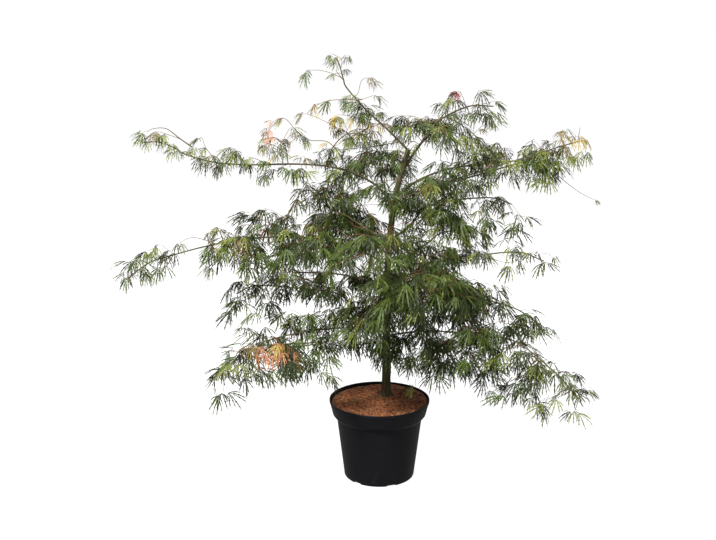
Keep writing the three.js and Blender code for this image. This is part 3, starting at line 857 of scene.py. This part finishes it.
def lobeFrames(droop, angle, length, twist, setup):  # points, directions and flat sides along one bowing lobe
    rows = len(setup["halfWidths"])
    sideways = np.array([0.0, 1.0, 0.0])
    point = np.array([setup["petiole"], 0, -0.12 * setup["petiole"]])
    frames = []
    for k in range(rows):
        share = k / (rows - 1)
        fall = min(droop + math.radians(setup["bend"]) * share ** 1.3, math.radians(92))
        forward = np.array([math.cos(fall), 0, -math.sin(fall)])
        spread = angle * (1 - 0.36 * share)
        ahead = math.cos(spread) * forward + math.sin(spread) * sideways
        ahead[2] -= 0.5 * share * abs(math.sin(spread))
        ahead /= np.linalg.norm(ahead)
        flat = math.cos(spread) * sideways - math.sin(spread) * forward
        flat -= ahead * (flat @ ahead)
        flat += np.cross(ahead, flat) * twist
        frames.append((point, ahead, flat / np.linalg.norm(flat)))
        point = point + ahead * length / (rows - 1)
    return frames


def leafVariant(index, setup):
    rng = np.random.default_rng(100 + index)
    points, faces = [], []
    last = len(setup["halfWidths"]) - 1
    for lobe, (fan, lengthShare) in enumerate(setup["lobes"]):
        length = setup["bladeLength"] * lengthShare * rng.uniform(0.88, 1.12)
        angle = math.radians(fan + rng.uniform(-1, 1) * setup["fanStray"])
        droop = math.radians(setup["droops"][index] + rng.normal(0, setup["droopStray"]))
        frames = lobeFrames(droop, angle, length, rng.uniform(-1, 1) * setup["roll"], setup)
        first = len(points)
        for (point, ahead, flat), width in zip(frames[:-1], setup["halfWidths"]):
            points += [point - flat * width, point + flat * width]
        points.append(frames[-1][0])
        faces += [(at, at + 2, at + 3, at + 1) for at in range(first, first + 2 * last - 2, 2)]
        faces.append((first + 2 * last - 2, first + 2 * last, first + 2 * last - 1))
        teeth = setup["toothLength"] if lobe < setup["toothedLobes"] else ()
        for k, reach in enumerate(teeth, start=1):
            point, ahead, flat = frames[k]
            for side in (-1, 1):
                lean = math.radians(setup["toothLean"] + rng.uniform(-8, 8))
                direction = math.cos(lean) * ahead + side * math.sin(lean) * flat
                root = first + 2 * k + (side > 0)
                foot = len(points)
                points.append(points[root] - ahead * setup["toothBase"])
                points.append(points[root] + direction * reach * lengthShare * rng.uniform(0.8, 1.2))
                faces.append((root, foot, foot + 1) if side < 0 else (root, foot + 1, foot))
    return meshObject(f"leafShape{index}", points, faces)


def leafTree():
    tree, given, result = newGeometryTree("leafSpray", {
        "Leaf shapes": ("NodeSocketCollection", None),
        "Tilt": ("NodeSocketFloat", 0.3),
        "Seed": ("NodeSocketInt", 1),
        "Material": ("NodeSocketMaterial", None),
    })
    shapes = addNode(tree, "GeometryNodeCollectionInfo",
                     {"Collection": given["Leaf shapes"], "Separate Children": True, "Reset Children": True})
    negative = addNode(tree, "ShaderNodeMath", {0: given["Tilt"], 1: -1.0}, operation="MULTIPLY")
    tilts = []
    for step in range(2):
        seed = addNode(tree, "FunctionNodeIntegerMath", {0: given["Seed"], 1: step}, operation="ADD")
        tilts.append(addNode(tree, "FunctionNodeRandomValue", {2: negative, 3: given["Tilt"], "Seed": seed}, 1,
                             data_type="FLOAT"))
    facing, size, shape = (
        addNode(tree, "GeometryNodeInputNamedAttribute", {"Name": label}, data_type=kind)
        for label, kind in (("facing", "FLOAT"), ("size", "FLOAT"), ("shape", "INT")))
    euler = addNode(tree, "ShaderNodeCombineXYZ", {"X": tilts[0], "Y": tilts[1], "Z": facing})
    turn = addNode(tree, "FunctionNodeEulerToRotation", {0: euler})
    leaves = addNode(tree, "GeometryNodeInstanceOnPoints", {
        "Points": given["Geometry"], "Instance": shapes, "Pick Instance": True,
        "Instance Index": shape, "Rotation": turn, "Scale": size})
    leaves = addNode(tree, "GeometryNodeRealizeInstances", {"Geometry": leaves})
    leaves = addNode(tree, "GeometryNodeSetMaterial", {"Geometry": leaves, "Material": given["Material"]})
    tree.links.new(leaves, result[0])
    return tree


def petioleVariant(setup):  # a thin three-sided stalk that rises a little and then falls
    points, faces = [], []
    for k, share in enumerate((0, 0.5, 1.0)):
        x = share * setup["petiole"]
        z = setup["petiole"] * (0.12 * math.sin(math.pi * share) - 0.12 * share)
        for corner in range(3):
            angle = corner * 2 * math.pi / 3
            points.append((x, 0.45 * mm * math.cos(angle), z + 0.45 * mm * math.sin(angle)))
        if k:
            for corner in range(3):
                a, b = 3 * (k - 1) + corner, 3 * (k - 1) + (corner + 1) % 3
                faces.append((a, b, b + 3, a + 3))
    return meshObject("petioleShape", points, faces)


def shapeCollection(name, things):
    collection = bpy.data.collections.new(name)
    for thing in things:
        collection.objects.link(thing)
        bpy.context.scene.collection.objects.unlink(thing)
    return collection


leafTints = {  # mature laceleaf foliage, matt above; each tint is one plain colour, dealt out by spray
    # the deep tint is the green leaf darkened: painted shade, dealt to sprays inside and low in the crown
    "deep": ("laceleaf maple leaf, darkened as painted shade", "#2c3712", 0.5),
    "green": ("mature laceleaf maple leaf", "#4b5b20", 0.5),
    "fresh": ("young laceleaf maple leaf", "#747c36", 0.5),
    "bronze": ("laceleaf maple leaf flushed with bronze", "#6a5c34", 0.5),
    "gold": ("turning laceleaf maple leaf, yellow", "#b09a4c", 0.5),
    "orange": ("turning laceleaf maple leaf, salmon orange", "#b97f5a", 0.5),
    "red": ("young laceleaf maple leaf, dull red", "#9c4a48", 0.5),
}
sprayColours = {
    "seed": 23,
    "paintedShadeBelow": 0.48, "greenBelow": 0.83,  # how exposed a spray may be, inside and low 0, outside and high 1; below the first, a spray takes the darker deep tint as painted shade
    "strayLeaves": 0.5,  # share of a spray's leaves that are a shade away from its own tint
    "strays": {"deep": ("green", "deep", "green"), "green": ("deep", "deep", "deep", "fresh", "fresh"),
               "fresh": ("green", "green", "deep", "green", "bronze"), "bronze": ("fresh", "green", "deep"),
               "gold": ("fresh", "gold", "bronze"), "orange": ("gold", "bronze", "orange", "fresh"),
               "red": ("red",)},
    "turningMasses": {  # share of sprays of each tint
        "upper_left_gold": {"gold": 0.4, "fresh": 0.3, "bronze": 0.1, "green": 0.2},
        "upper_left_arc": {"gold": 0.4, "fresh": 0.4, "bronze": 0.2},
        "leader_side_tuft": {"gold": 0.4, "bronze": 0.2, "green": 0.4},
        "whip_tip": {"gold": 0.2, "fresh": 0.5, "green": 0.3},
        "upper_left_cluster": {"fresh": 0.5, "green": 0.4, "bronze": 0.1},
    },
    "spots": (  # mass, place in its box as shares, radius in metres, tints
        ("foliage_bottom_left_tip", (0.66, 0.3, 1.0), 0.062,
         ("orange", "orange", "orange", "gold", "bronze")),
        ("foliage_upper_right_whip_tip", (0.55, 0.5, 0.8), 0.065, ("gold", "gold", "gold", "fresh")),
        ("foliage_middle_left_outer", (0.55, 0.5, 0.95), 0.04, ("orange", "bronze", "bronze", "green")),
        ("foliage_front_left_outer", (0.8, 0.6, 0.95), 0.05, ("bronze", "bronze", "green")),
    ),
}
leafPlacing = {
    "pairTurns": (-46, 46), "tipTurns": (-38, 3, 40),  # how far leaves turn from their twig, in degrees
    "jitter": 17, "tilt": 0.36, "smallest": 0.75, "largest": 1.15, "seed": 31,
    "upright": 0.004,  # leaves on a twig that goes less than this aside face any way
}


def sprayTints(setup, rng):
    tints, nodeTints = {}, []
    spots = [(masses[name].low + (masses[name].high - masses[name].low) * np.array(place), radius, choices)
             for name, place, radius, choices in setup["spots"]]
    for node in leafNodes:
        if node.spray not in tints:
            mix = next((m for end, m in setup["turningMasses"].items() if node.mass.endswith(end)), None)
            outward = math.hypot(node.place[0], node.place[1]) / 0.6
            height = node.place[2] / cadBounds[1][2]
            # sprays less exposed than the first threshold get the darker deep tint: painted shade inside and low
            # in the crown
            exposure = 0.38 * outward + 0.62 * height + rng.normal(0, 0.15)
            chosen = "deep" if exposure < setup["paintedShadeBelow"] else "green"
            chosen = chosen if exposure < setup["greenBelow"] else "fresh"
            tints[node.spray] = rng.choice(list(mix), p=list(mix.values())) if mix else chosen
        choices = node.tint.split() or (str(tints[node.spray]),)
        for centre, radius, spotTints in spots:
            if not node.tint and np.linalg.norm(node.place - centre) < radius * rng.uniform(0.75, 1.1):
                choices = spotTints
        nodeTints.append(choices)
    return nodeTints


def placeLeaves(setup, colours, nodeTints, rng):
    leaves = {tint: [] for tint in leafTints}  # place, facing, size, shape
    for node, choices in zip(leafNodes, nodeTints):
        level = math.hypot(node.heading[0], node.heading[1])
        course = math.atan2(node.heading[1], node.heading[0])
        if level <= setup["upright"]:
            course = rng.uniform(-math.pi, math.pi)
        for turn in setup["tipTurns"] if node.atTip else setup["pairTurns"]:
            facing = course + math.radians(turn + rng.normal(0, setup["jitter"]))
            size = node.size * rng.uniform(setup["smallest"], setup["largest"])
            tint = choices[rng.integers(len(choices))]
            if rng.random() < colours["strayLeaves"] and len(choices) == 1:
                tint = colours["strays"][tint][rng.integers(len(colours["strays"][tint]))]
            leaves[tint].append((node.place, facing, size, int(rng.integers(len(leafShape["droops"])))))
    return leaves


leafVariants = [leafVariant(i, leafShape) for i in range(len(leafShape["droops"]))]
leafShapes = shapeCollection("leafShapes", leafVariants)
petioleShapes = shapeCollection("petioleShapes", [petioleVariant(leafShape)])
leafSpray = leafTree()
tintRng = np.random.default_rng(sprayColours["seed"])
leavesByTint = placeLeaves(leafPlacing, sprayColours, sprayTints(sprayColours, tintRng),
                           np.random.default_rng(leafPlacing["seed"]))
trianglesPerLeaf = sum(len(p.vertices) - 2 for p in leafShapes.objects[0].data.polygons)
mostTriangles = 190000  # in one piece
mostLeaves = mostTriangles // trianglesPerLeaf


def leafPoints(name, rows, shapes=True):
    source = meshObject(name + "_points", [row[0] for row in rows], [])
    setAttribute(source, "facing", [row[1] for row in rows])
    setAttribute(source, "size", [row[2] for row in rows])
    setAttribute(source, "shape", [row[3] if shapes else 0 for row in rows], "INT")
    return source


leafPieces = {}
for tint, (growth, colour, roughness) in leafTints.items():
    rows = sorted(leavesByTint[tint], key=lambda row: row[0][0])  # from left to right
    material = plainMaterial(growth, colour, roughness, 0.3)
    parts = max(1, math.ceil(len(rows) / mostLeaves))
    for part in range(parts):
        own = rows[part * len(rows) // parts:(part + 1) * len(rows) // parts]
        name = f"leaves_{tint}" + (f"_{part + 1}" if parts > 1 else "")
        leafPieces[name] = runTree(leafPoints(name, own), leafSpray, {
            "Leaf shapes": leafShapes, "Tilt": leafPlacing["tilt"], "Seed": 40 + part, "Material": material}, name)
allRows = [row for rows in leavesByTint.values() for row in rows]
petioles = runTree(leafPoints("petioles", allRows, False), leafSpray, {
    "Leaf shapes": petioleShapes, "Tilt": 0.2, "Seed": 9,
    "Material": plainMaterial("reddish leaf stalk", "#6c4c34", 0.5)}, "petioles")
for collection in (leafShapes, petioleShapes):
    for thing in list(collection.objects):
        bpy.data.objects.remove(thing)
    bpy.data.collections.remove(collection)
report(f"{len(allRows)} leaves of {trianglesPerLeaf} triangles")


potShape = {
    "segments": 144,
    "rimRadius": 165 * mm, "bandRadius": 154 * mm, "bodyRadius": 140 * mm, "footRadius": 116 * mm,
    "bandDepth": 48 * mm, "chamferDepth": 16 * mm, "cornerRadius": 8 * mm,
    "wall": 2.2 * mm, "lip": 3.2 * mm, "base": 3 * mm, "edge": 1.2 * mm,
    "notches": 6, "notchTurn": 50, "notchWidth": 32 * mm, "notchHeight": 7 * mm,
}


def arc(centre, radius, fromDeg, toDeg, count):
    return [(centre[0] + radius * math.cos(math.radians(a)), centre[1] + radius * math.sin(math.radians(a)))
            for a in np.linspace(fromDeg, toDeg, count)]


def revolve(name, profile, segments):  # profile runs from axis to axis, outside first
    points, faces = [], []
    rings = []
    for radius, height in profile:
        if radius < 1e-6:
            rings.append([len(points)])
            points.append((0, 0, height))
            continue
        rings.append(list(range(len(points), len(points) + segments)))
        for i in range(segments):
            angle = 2 * math.pi * i / segments
            points.append((radius * math.cos(angle), radius * math.sin(angle), height))
    for lower, upper in zip(rings, rings[1:]):
        for i in range(segments):
            j = (i + 1) % segments
            if len(lower) == 1:
                faces.append((lower[0], upper[j], upper[i]))
            elif len(upper) == 1:
                faces.append((lower[i], lower[j], upper[0]))
            else:
                faces.append((lower[i], lower[j], upper[j], upper[i]))
    return meshObject(name, points, faces)


def potProfile(shape):  # radius and height along the wall, from under the base to the inside of the base
    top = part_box("pot")[1][2]
    bandFoot = top - shape["bandDepth"]
    bodyTop = bandFoot - shape["chamferDepth"]
    edge, lip, wall, base = shape["edge"], shape["lip"], shape["wall"], shape["base"]
    foot, corner = shape["footRadius"], shape["cornerRadius"]
    body, band, rim = shape["bodyRadius"], shape["bandRadius"], shape["rimRadius"]
    profile = [(share * foot, 0) for share in (0, 0.35, 0.7)]
    profile += arc((foot - corner, corner), corner, -90, -4, 8)
    profile += [(foot + (body - foot) * share, corner + (bodyTop - corner) * share)
                for share in (0.04, 0.5, 0.97, 1.0)]
    profile += [(body + 1.2 * mm, bodyTop + 0.8 * mm), (band - 1.6 * mm, bandFoot - 2.2 * mm),
                (band - 0.3 * mm, bandFoot - 0.4 * mm), (band + 0.3 * mm, bandFoot + 1.4 * mm),
                (rim - 1.4 * mm, top - 9.5 * mm), (rim - 0.1 * mm, top - 8.4 * mm), (rim, top - 2.4 * mm)]
    profile += arc((rim - edge, top - edge), edge, 0, 90, 6)
    profile += arc((rim - lip + edge, top - edge), edge, 90, 180, 6)
    profile += [(rim - lip - 0.6 * mm, top - 8 * mm), (band - wall, bandFoot), (body - wall, bodyTop),
                (foot - wall, base), (0, base)]
    return profile


# black polypropylene, injection moulded: an even satin skin with faint flow marks,
# and dust that catches the light
def potMaterial():
    material, tree, shader = newMaterial("injection moulded polypropylene, black")
    grain, flow, dust = 0.9 * mm, 40 * mm, 14 * mm
    place = addNode(tree, "ShaderNodeTexCoord", output="Object")
    flowMap = addNode(tree, "ShaderNodeMapping", {"Vector": place, "Scale": (1, 1, 0.25)})
    flows = addNode(tree, "ShaderNodeTexNoise", {"Vector": flowMap, "Scale": 1 / flow, "Detail": 3.0})
    grains = addNode(tree, "ShaderNodeTexNoise", {"Vector": place, "Scale": 1 / grain, "Detail": 2.0})
    dusts = addNode(tree, "ShaderNodeTexNoise",
                    {"Vector": place, "Scale": 1 / dust, "Detail": 6.0, "Roughness": 0.65})
    height = addNode(tree, "ShaderNodeSeparateXYZ", {0: place}, "Z")
    low = addNode(tree, "ShaderNodeMapRange",
                  {"Value": height, "From Min": 0.0, "From Max": 0.07, "To Min": 0.5, "To Max": 0.12})
    dusty = addNode(tree, "ShaderNodeMapRange", {"Value": dusts, "From Min": 0.52, "From Max": 0.75})
    share = addNode(tree, "ShaderNodeMath", {0: dusty, 1: low}, operation="MULTIPLY")
    black = addNode(tree, "ShaderNodeMix", {0: flows, 6: hexColour("#0f1015"), 7: hexColour("#18181c")}, 2,
                    data_type="RGBA")
    colour = addNode(tree, "ShaderNodeMix", {0: share, 6: black, 7: hexColour("#3a342f")}, 2,
                     data_type="RGBA")
    tree.links.new(colour, shader.inputs["Base Color"])
    shader.inputs["Specular IOR Level"].default_value = 0.22
    roughness = addNode(tree, "ShaderNodeMapRange", {"Value": flows, "To Min": 0.36, "To Max": 0.56})
    tree.links.new(roughness, shader.inputs["Roughness"])
    bump = addNode(tree, "ShaderNodeBump", {"Height": grains, "Strength": 0.12, "Distance": 0.2 * mm})
    tree.links.new(bump, shader.inputs["Normal"])
    return material


def makePot(shape):
    shell = revolve("pot_shell", potProfile(shape), shape["segments"])
    outline = [(-1, -1), (1, -1), (1, 0.55), (0.8, 0.88), (0.55, 1), (-0.55, 1), (-0.8, 0.88), (-1, 0.55)]
    count = len(outline)
    cutters = []
    for i in range(shape["notches"]):
        angle = math.radians(shape["notchTurn"] + 360 * i / shape["notches"])
        out = Vector((math.cos(angle), math.sin(angle), 0))
        across = Vector((-math.sin(angle), math.cos(angle), 0))
        points = []
        for side in (-1, 1):
            reach = shape["footRadius"] + side * 1.5 * shape["cornerRadius"]
            for u, v in outline:
                points.append(out * reach + across * (u * shape["notchWidth"] / 2)
                              + upward * (v * shape["notchHeight"]))
        faces = [tuple(reversed(range(count))), tuple(range(count, 2 * count))]
        faces += [(k, (k + 1) % count, count + (k + 1) % count, count + k) for k in range(count)]
        cutters.append(meshObject(f"notch{i}", points, faces))
    for cutter in cutters:
        cut = shell.modifiers.new("notch", "BOOLEAN")
        cut.operation = "DIFFERENCE"
        cut.solver = "EXACT"
        cut.object = cutter
    bpy.context.view_layer.update()
    mesh = bpy.data.meshes.new_from_object(shell.evaluated_get(bpy.context.evaluated_depsgraph_get()))
    for thing in [shell, *cutters]:
        bpy.data.objects.remove(thing)
    pot = linkObject("pot_shell", mesh)
    return pot


potPiece = makePot(potShape)
potPiece.data.materials.append(potMaterial())
for polygon in potPiece.data.polygons:
    polygon.use_smooth = True
potPiece.data.set_sharp_from_angle(angle=math.radians(35))
report("pot")


compostShape = {
    "segments": 120, "rings": 46,
    "clearance": 0.35 * mm,
    "lifted": 9 * mm,  # the bed lies on drainage holes that stay dark
    "raised": 1.0 * mm,
    "tilt": (4.6 * mm, 2.6 * mm),  # rise across the surface to the right and to the back
    "mound": 5 * mm, "moundRadius": 0.045,
    "lumps": 2.6 * mm, "lumpSize": 0.034,
    "crumbs": 1.6 * mm, "crumbSize": 0.008,
    "wallDip": 2.0 * mm,
}


def compostHeight(x, y, shape):
    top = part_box("compost")[1][2]
    radius = potShape["rimRadius"]
    height = top + shape["raised"] + shape["tilt"][0] * x / radius + shape["tilt"][1] * y / radius
    fromStem = math.hypot(x - trunkCentres[0][0], y - trunkCentres[0][1])
    height += shape["mound"] * math.exp(-(fromStem / shape["moundRadius"]) ** 2)
    height += shape["lumps"] * noise.noise(Vector((x, y, 0.3)) / shape["lumpSize"])
    height += shape["crumbs"] * noise.noise(Vector((x, y, 1.7)) / shape["crumbSize"])
    height -= shape["wallDip"] * (math.hypot(x, y) / radius) ** 6
    return height


def makeCompost(shape):
    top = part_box("pot")[1][2]
    bandFoot = top - potShape["bandDepth"]
    inset = potShape["wall"] + shape["clearance"]
    lipInside = potShape["rimRadius"] - potShape["lip"] - 1.0 * mm - shape["clearance"]
    slope = (potShape["rimRadius"] - potShape["bandRadius"]) / potShape["bandDepth"]
    points, faces = [(0.0, 0.0, compostHeight(0, 0, shape))], []
    segments, rings = shape["segments"], shape["rings"]
    outer = lipInside - slope * (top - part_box("compost")[1][2])
    for ring in range(1, rings + 1):
        radius = outer * ring / rings
        for i in range(segments):
            angle = 2 * math.pi * i / segments
            x, y = radius * math.cos(angle), radius * math.sin(angle)
            points.append((x, y, compostHeight(x, y, shape)))
    lowest = potShape["base"] + shape["lifted"]
    walls = [(potShape["bandRadius"] - inset, bandFoot),
             (potShape["bodyRadius"] - inset, bandFoot - potShape["chamferDepth"]),
             (potShape["footRadius"] - inset, lowest)]
    for radius, height in walls:
        for i in range(segments):
            angle = 2 * math.pi * i / segments
            points.append((radius * math.cos(angle), radius * math.sin(angle), height))
    points.append((0, 0, lowest))
    for i in range(segments):
        j = (i + 1) % segments
        faces.append((0, 1 + i, 1 + j))
        for ring in range(rings + len(walls) - 1):
            a, b = 1 + ring * segments, 1 + (ring + 1) * segments
            faces.append((a + i, b + i, b + j, a + j))
        last = 1 + (rings + len(walls) - 1) * segments
        faces.append((last + j, last + i, len(points) - 1))
    piece = meshObject("compost_bed", points, faces)
    for polygon in piece.data.polygons:
        polygon.use_smooth = True
    return piece


# bark and coir compost: loose, dull and fibrous; its colour follows the crumbs' bump, darker in the hollows
# between them as painted shade
def compostMaterial():
    material, tree, shader = newMaterial("bark and coir compost")
    crumb, patch = 2.5 * mm, 30 * mm
    place = addNode(tree, "ShaderNodeTexCoord", output="Object")
    crumbs = addNode(tree, "ShaderNodeTexNoise",
                     {"Vector": place, "Scale": 1 / crumb, "Detail": 5.0, "Roughness": 0.7})
    patches = addNode(tree, "ShaderNodeTexNoise", {"Vector": place, "Scale": 1 / patch, "Detail": 3.0})
    # the crumb noise that raises the bump also colours it: dark in its hollows, painted shade between the crumbs
    crumbShadeTone = addNode(tree, "ShaderNodeValToRGB", {"Fac": crumbs})
    setRamp(crumbShadeTone, (0.35, "#4e3020"), (0.68, "#aa6c45"))
    share = addNode(tree, "ShaderNodeMapRange",
                    {"Value": patches, "From Min": 0.4, "From Max": 0.65, "To Max": 0.6})
    colour = addNode(tree, "ShaderNodeMix", {0: share, 6: crumbShadeTone, 7: hexColour("#7d4f34")}, 2,
                     data_type="RGBA")
    tree.links.new(colour, shader.inputs["Base Color"])
    shader.inputs["Roughness"].default_value = 0.95
    bump = addNode(tree, "ShaderNodeBump", {"Height": crumbs, "Strength": 0.8, "Distance": 1.5 * mm})
    tree.links.new(bump, shader.inputs["Normal"])
    return material


# a split flake of bark, or a bent fibre when it is long and thin
def chipShape(name, long, wide, thick, bend, seed):
    rng = np.random.default_rng(seed)
    points, faces = [], []
    stations = 4
    for k in range(stations):
        share = k / (stations - 1)
        x = (share - 0.5) * long
        taper = 0.45 + 0.55 * math.sin(math.pi * (0.15 + 0.7 * share))
        y0 = bend * math.sin(math.pi * share) * long
        for u, v in ((-1, -1), (1, -1), (1, 1), (-1, 1)):
            lengthways = x + rng.uniform(-0.05, 0.05) * long
            aside = y0 + u * wide / 2 * taper * rng.uniform(0.8, 1.2)
            above = v * thick / 2 * rng.uniform(0.7, 1.3) + 0.3 * bend * long * share
            points.append((lengthways, aside, above))
        if k:
            a = 4 * (k - 1)
            faces += [(a + i, a + (i + 1) % 4, a + 4 + (i + 1) % 4, a + 4 + i) for i in range(4)]
    faces += [(3, 2, 1, 0), tuple(4 * (stations - 1) + i for i in range(4))]
    return meshObject(name, points, faces)


def mulchTree():
    tree, given, result = newGeometryTree("mulchScatter", {
        "Chips": ("NodeSocketCollection", None),
        "Per square metre": ("NodeSocketFloat", 4000.0),
        "Smallest": ("NodeSocketFloat", 0.6),
        "Largest": ("NodeSocketFloat", 1.4),
        "Lean": ("NodeSocketFloat", 0.4),
        "Lowest": ("NodeSocketFloat", 0.2),
        "Widest": ("NodeSocketFloat", 0.1),
        "Seed": ("NodeSocketInt", 1),
        "Material": ("NodeSocketMaterial", None),
    })
    place = addNode(tree, "GeometryNodeInputPosition")
    height = addNode(tree, "ShaderNodeSeparateXYZ", {0: place}, "Z")
    level = addNode(tree, "ShaderNodeVectorMath", {0: place, 1: (1, 1, 0)}, operation="MULTIPLY")
    fromAxis = addNode(tree, "ShaderNodeVectorMath", {0: level}, "Value", operation="LENGTH")
    onTop = addNode(tree, "FunctionNodeCompare", {0: height, 1: given["Lowest"]},
                    data_type="FLOAT", operation="GREATER_THAN")
    inside = addNode(tree, "FunctionNodeCompare", {0: fromAxis, 1: given["Widest"]},
                     data_type="FLOAT", operation="LESS_THAN")
    allowed = addNode(tree, "FunctionNodeBooleanMath", {0: onTop, 1: inside}, operation="AND")
    scatter = addNode(tree, "GeometryNodeDistributePointsOnFaces", {
        "Mesh": given["Geometry"], "Selection": allowed,
        "Density": given["Per square metre"], "Seed": given["Seed"]})
    chips = addNode(tree, "GeometryNodeCollectionInfo",
                    {"Collection": given["Chips"], "Separate Children": True, "Reset Children": True})
    back = addNode(tree, "ShaderNodeMath", {0: given["Lean"], 1: -1.0}, operation="MULTIPLY")
    ranges = ((back, given["Lean"], 5), (back, given["Lean"], 6), (-math.pi, math.pi, 7),
              (given["Smallest"], given["Largest"], 8))
    leanX, leanY, spin, size = (
        addNode(tree, "FunctionNodeRandomValue", {2: least, 3: most, "Seed": seed}, 1, data_type="FLOAT")
        for least, most, seed in ranges)
    euler = addNode(tree, "ShaderNodeCombineXYZ", {"X": leanX, "Y": leanY, "Z": spin})
    turn = addNode(tree, "FunctionNodeEulerToRotation", {0: euler})
    pieces = addNode(tree, "GeometryNodeInstanceOnPoints", {
        "Points": scatter, "Instance": chips, "Pick Instance": True, "Rotation": turn, "Scale": size})
    pieces = addNode(tree, "GeometryNodeRealizeInstances", {"Geometry": pieces})
    pieces = addNode(tree, "GeometryNodeSetMaterial", {"Geometry": pieces, "Material": given["Material"]})
    tree.links.new(pieces, result[0])
    return tree


mulch = {  # colour, chips per square metre, long, wide, thick, bend, lean
    "mulch_dark": ("dark bark flake", "#6a4029", 9000, (7.5 * mm, 4.5 * mm, 1.8 * mm), 0.05, 0.5),
    "mulch_red": ("red brown bark flake", "#a8683f", 11000, (8.5 * mm, 3.6 * mm, 1.6 * mm), 0.05, 0.45),
    "mulch_pale": ("pale split bark", "#b98a5f", 4200, (7.0 * mm, 3.0 * mm, 1.2 * mm), 0.05, 0.4),
    "mulch_fibres": ("coir fibre", "#aa734a", 5200, (22 * mm, 0.8 * mm, 0.7 * mm), 0.18, 0.25),
}
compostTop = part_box("compost")[1][2]
compostPiece = makeCompost(compostShape)
compostPiece.data.materials.append(compostMaterial())
mulchScatter = mulchTree()
mulchPieces = []
for order, (name, (stuff, colour, density, size, bend, lean)) in enumerate(mulch.items()):
    shapes = [chipShape(f"{name}_{k}", *size, bend * (1 - k), 60 + 7 * order + k) for k in range(3)]
    chips = shapeCollection(name + "_shapes", shapes)
    bed = linkObject(name + "_bed", compostPiece.data.copy())
    mulchPieces.append(runTree(bed, mulchScatter, {
        "Chips": chips, "Per square metre": float(density), "Lean": lean, "Seed": 70 + order,
        "Lowest": compostTop - 12 * mm, "Widest": potShape["bandRadius"] - 0.6 * size[0],
        "Material": plainMaterial(stuff, colour, 0.9, 0.2)}, name))
    for thing in list(chips.objects):
        bpy.data.objects.remove(thing)
    bpy.data.collections.remove(chips)
report("compost and mulch")


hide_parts("trunk")
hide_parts(*boughNames)
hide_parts(*massNames)
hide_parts("pot")
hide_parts("compost")
everyPiece = [trunkPiece, boughPiece, *twigPieces, petioles, *leafPieces.values(),
              potPiece, compostPiece, *mulchPieces]
for piece in everyPiece:
    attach(piece, "root")
triangles = {p.name: sum(len(f.vertices) - 2 for f in p.data.polygons) for p in everyPiece}
report(f"triangles {triangles}, {sum(triangles.values())} in all")

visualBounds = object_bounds()
seenBox, cadBox = ([[round(float(v), 3) for v in c] for c in box] for box in (visualBounds, cadBounds))
report(f"box {seenBox} in {cadBox}")
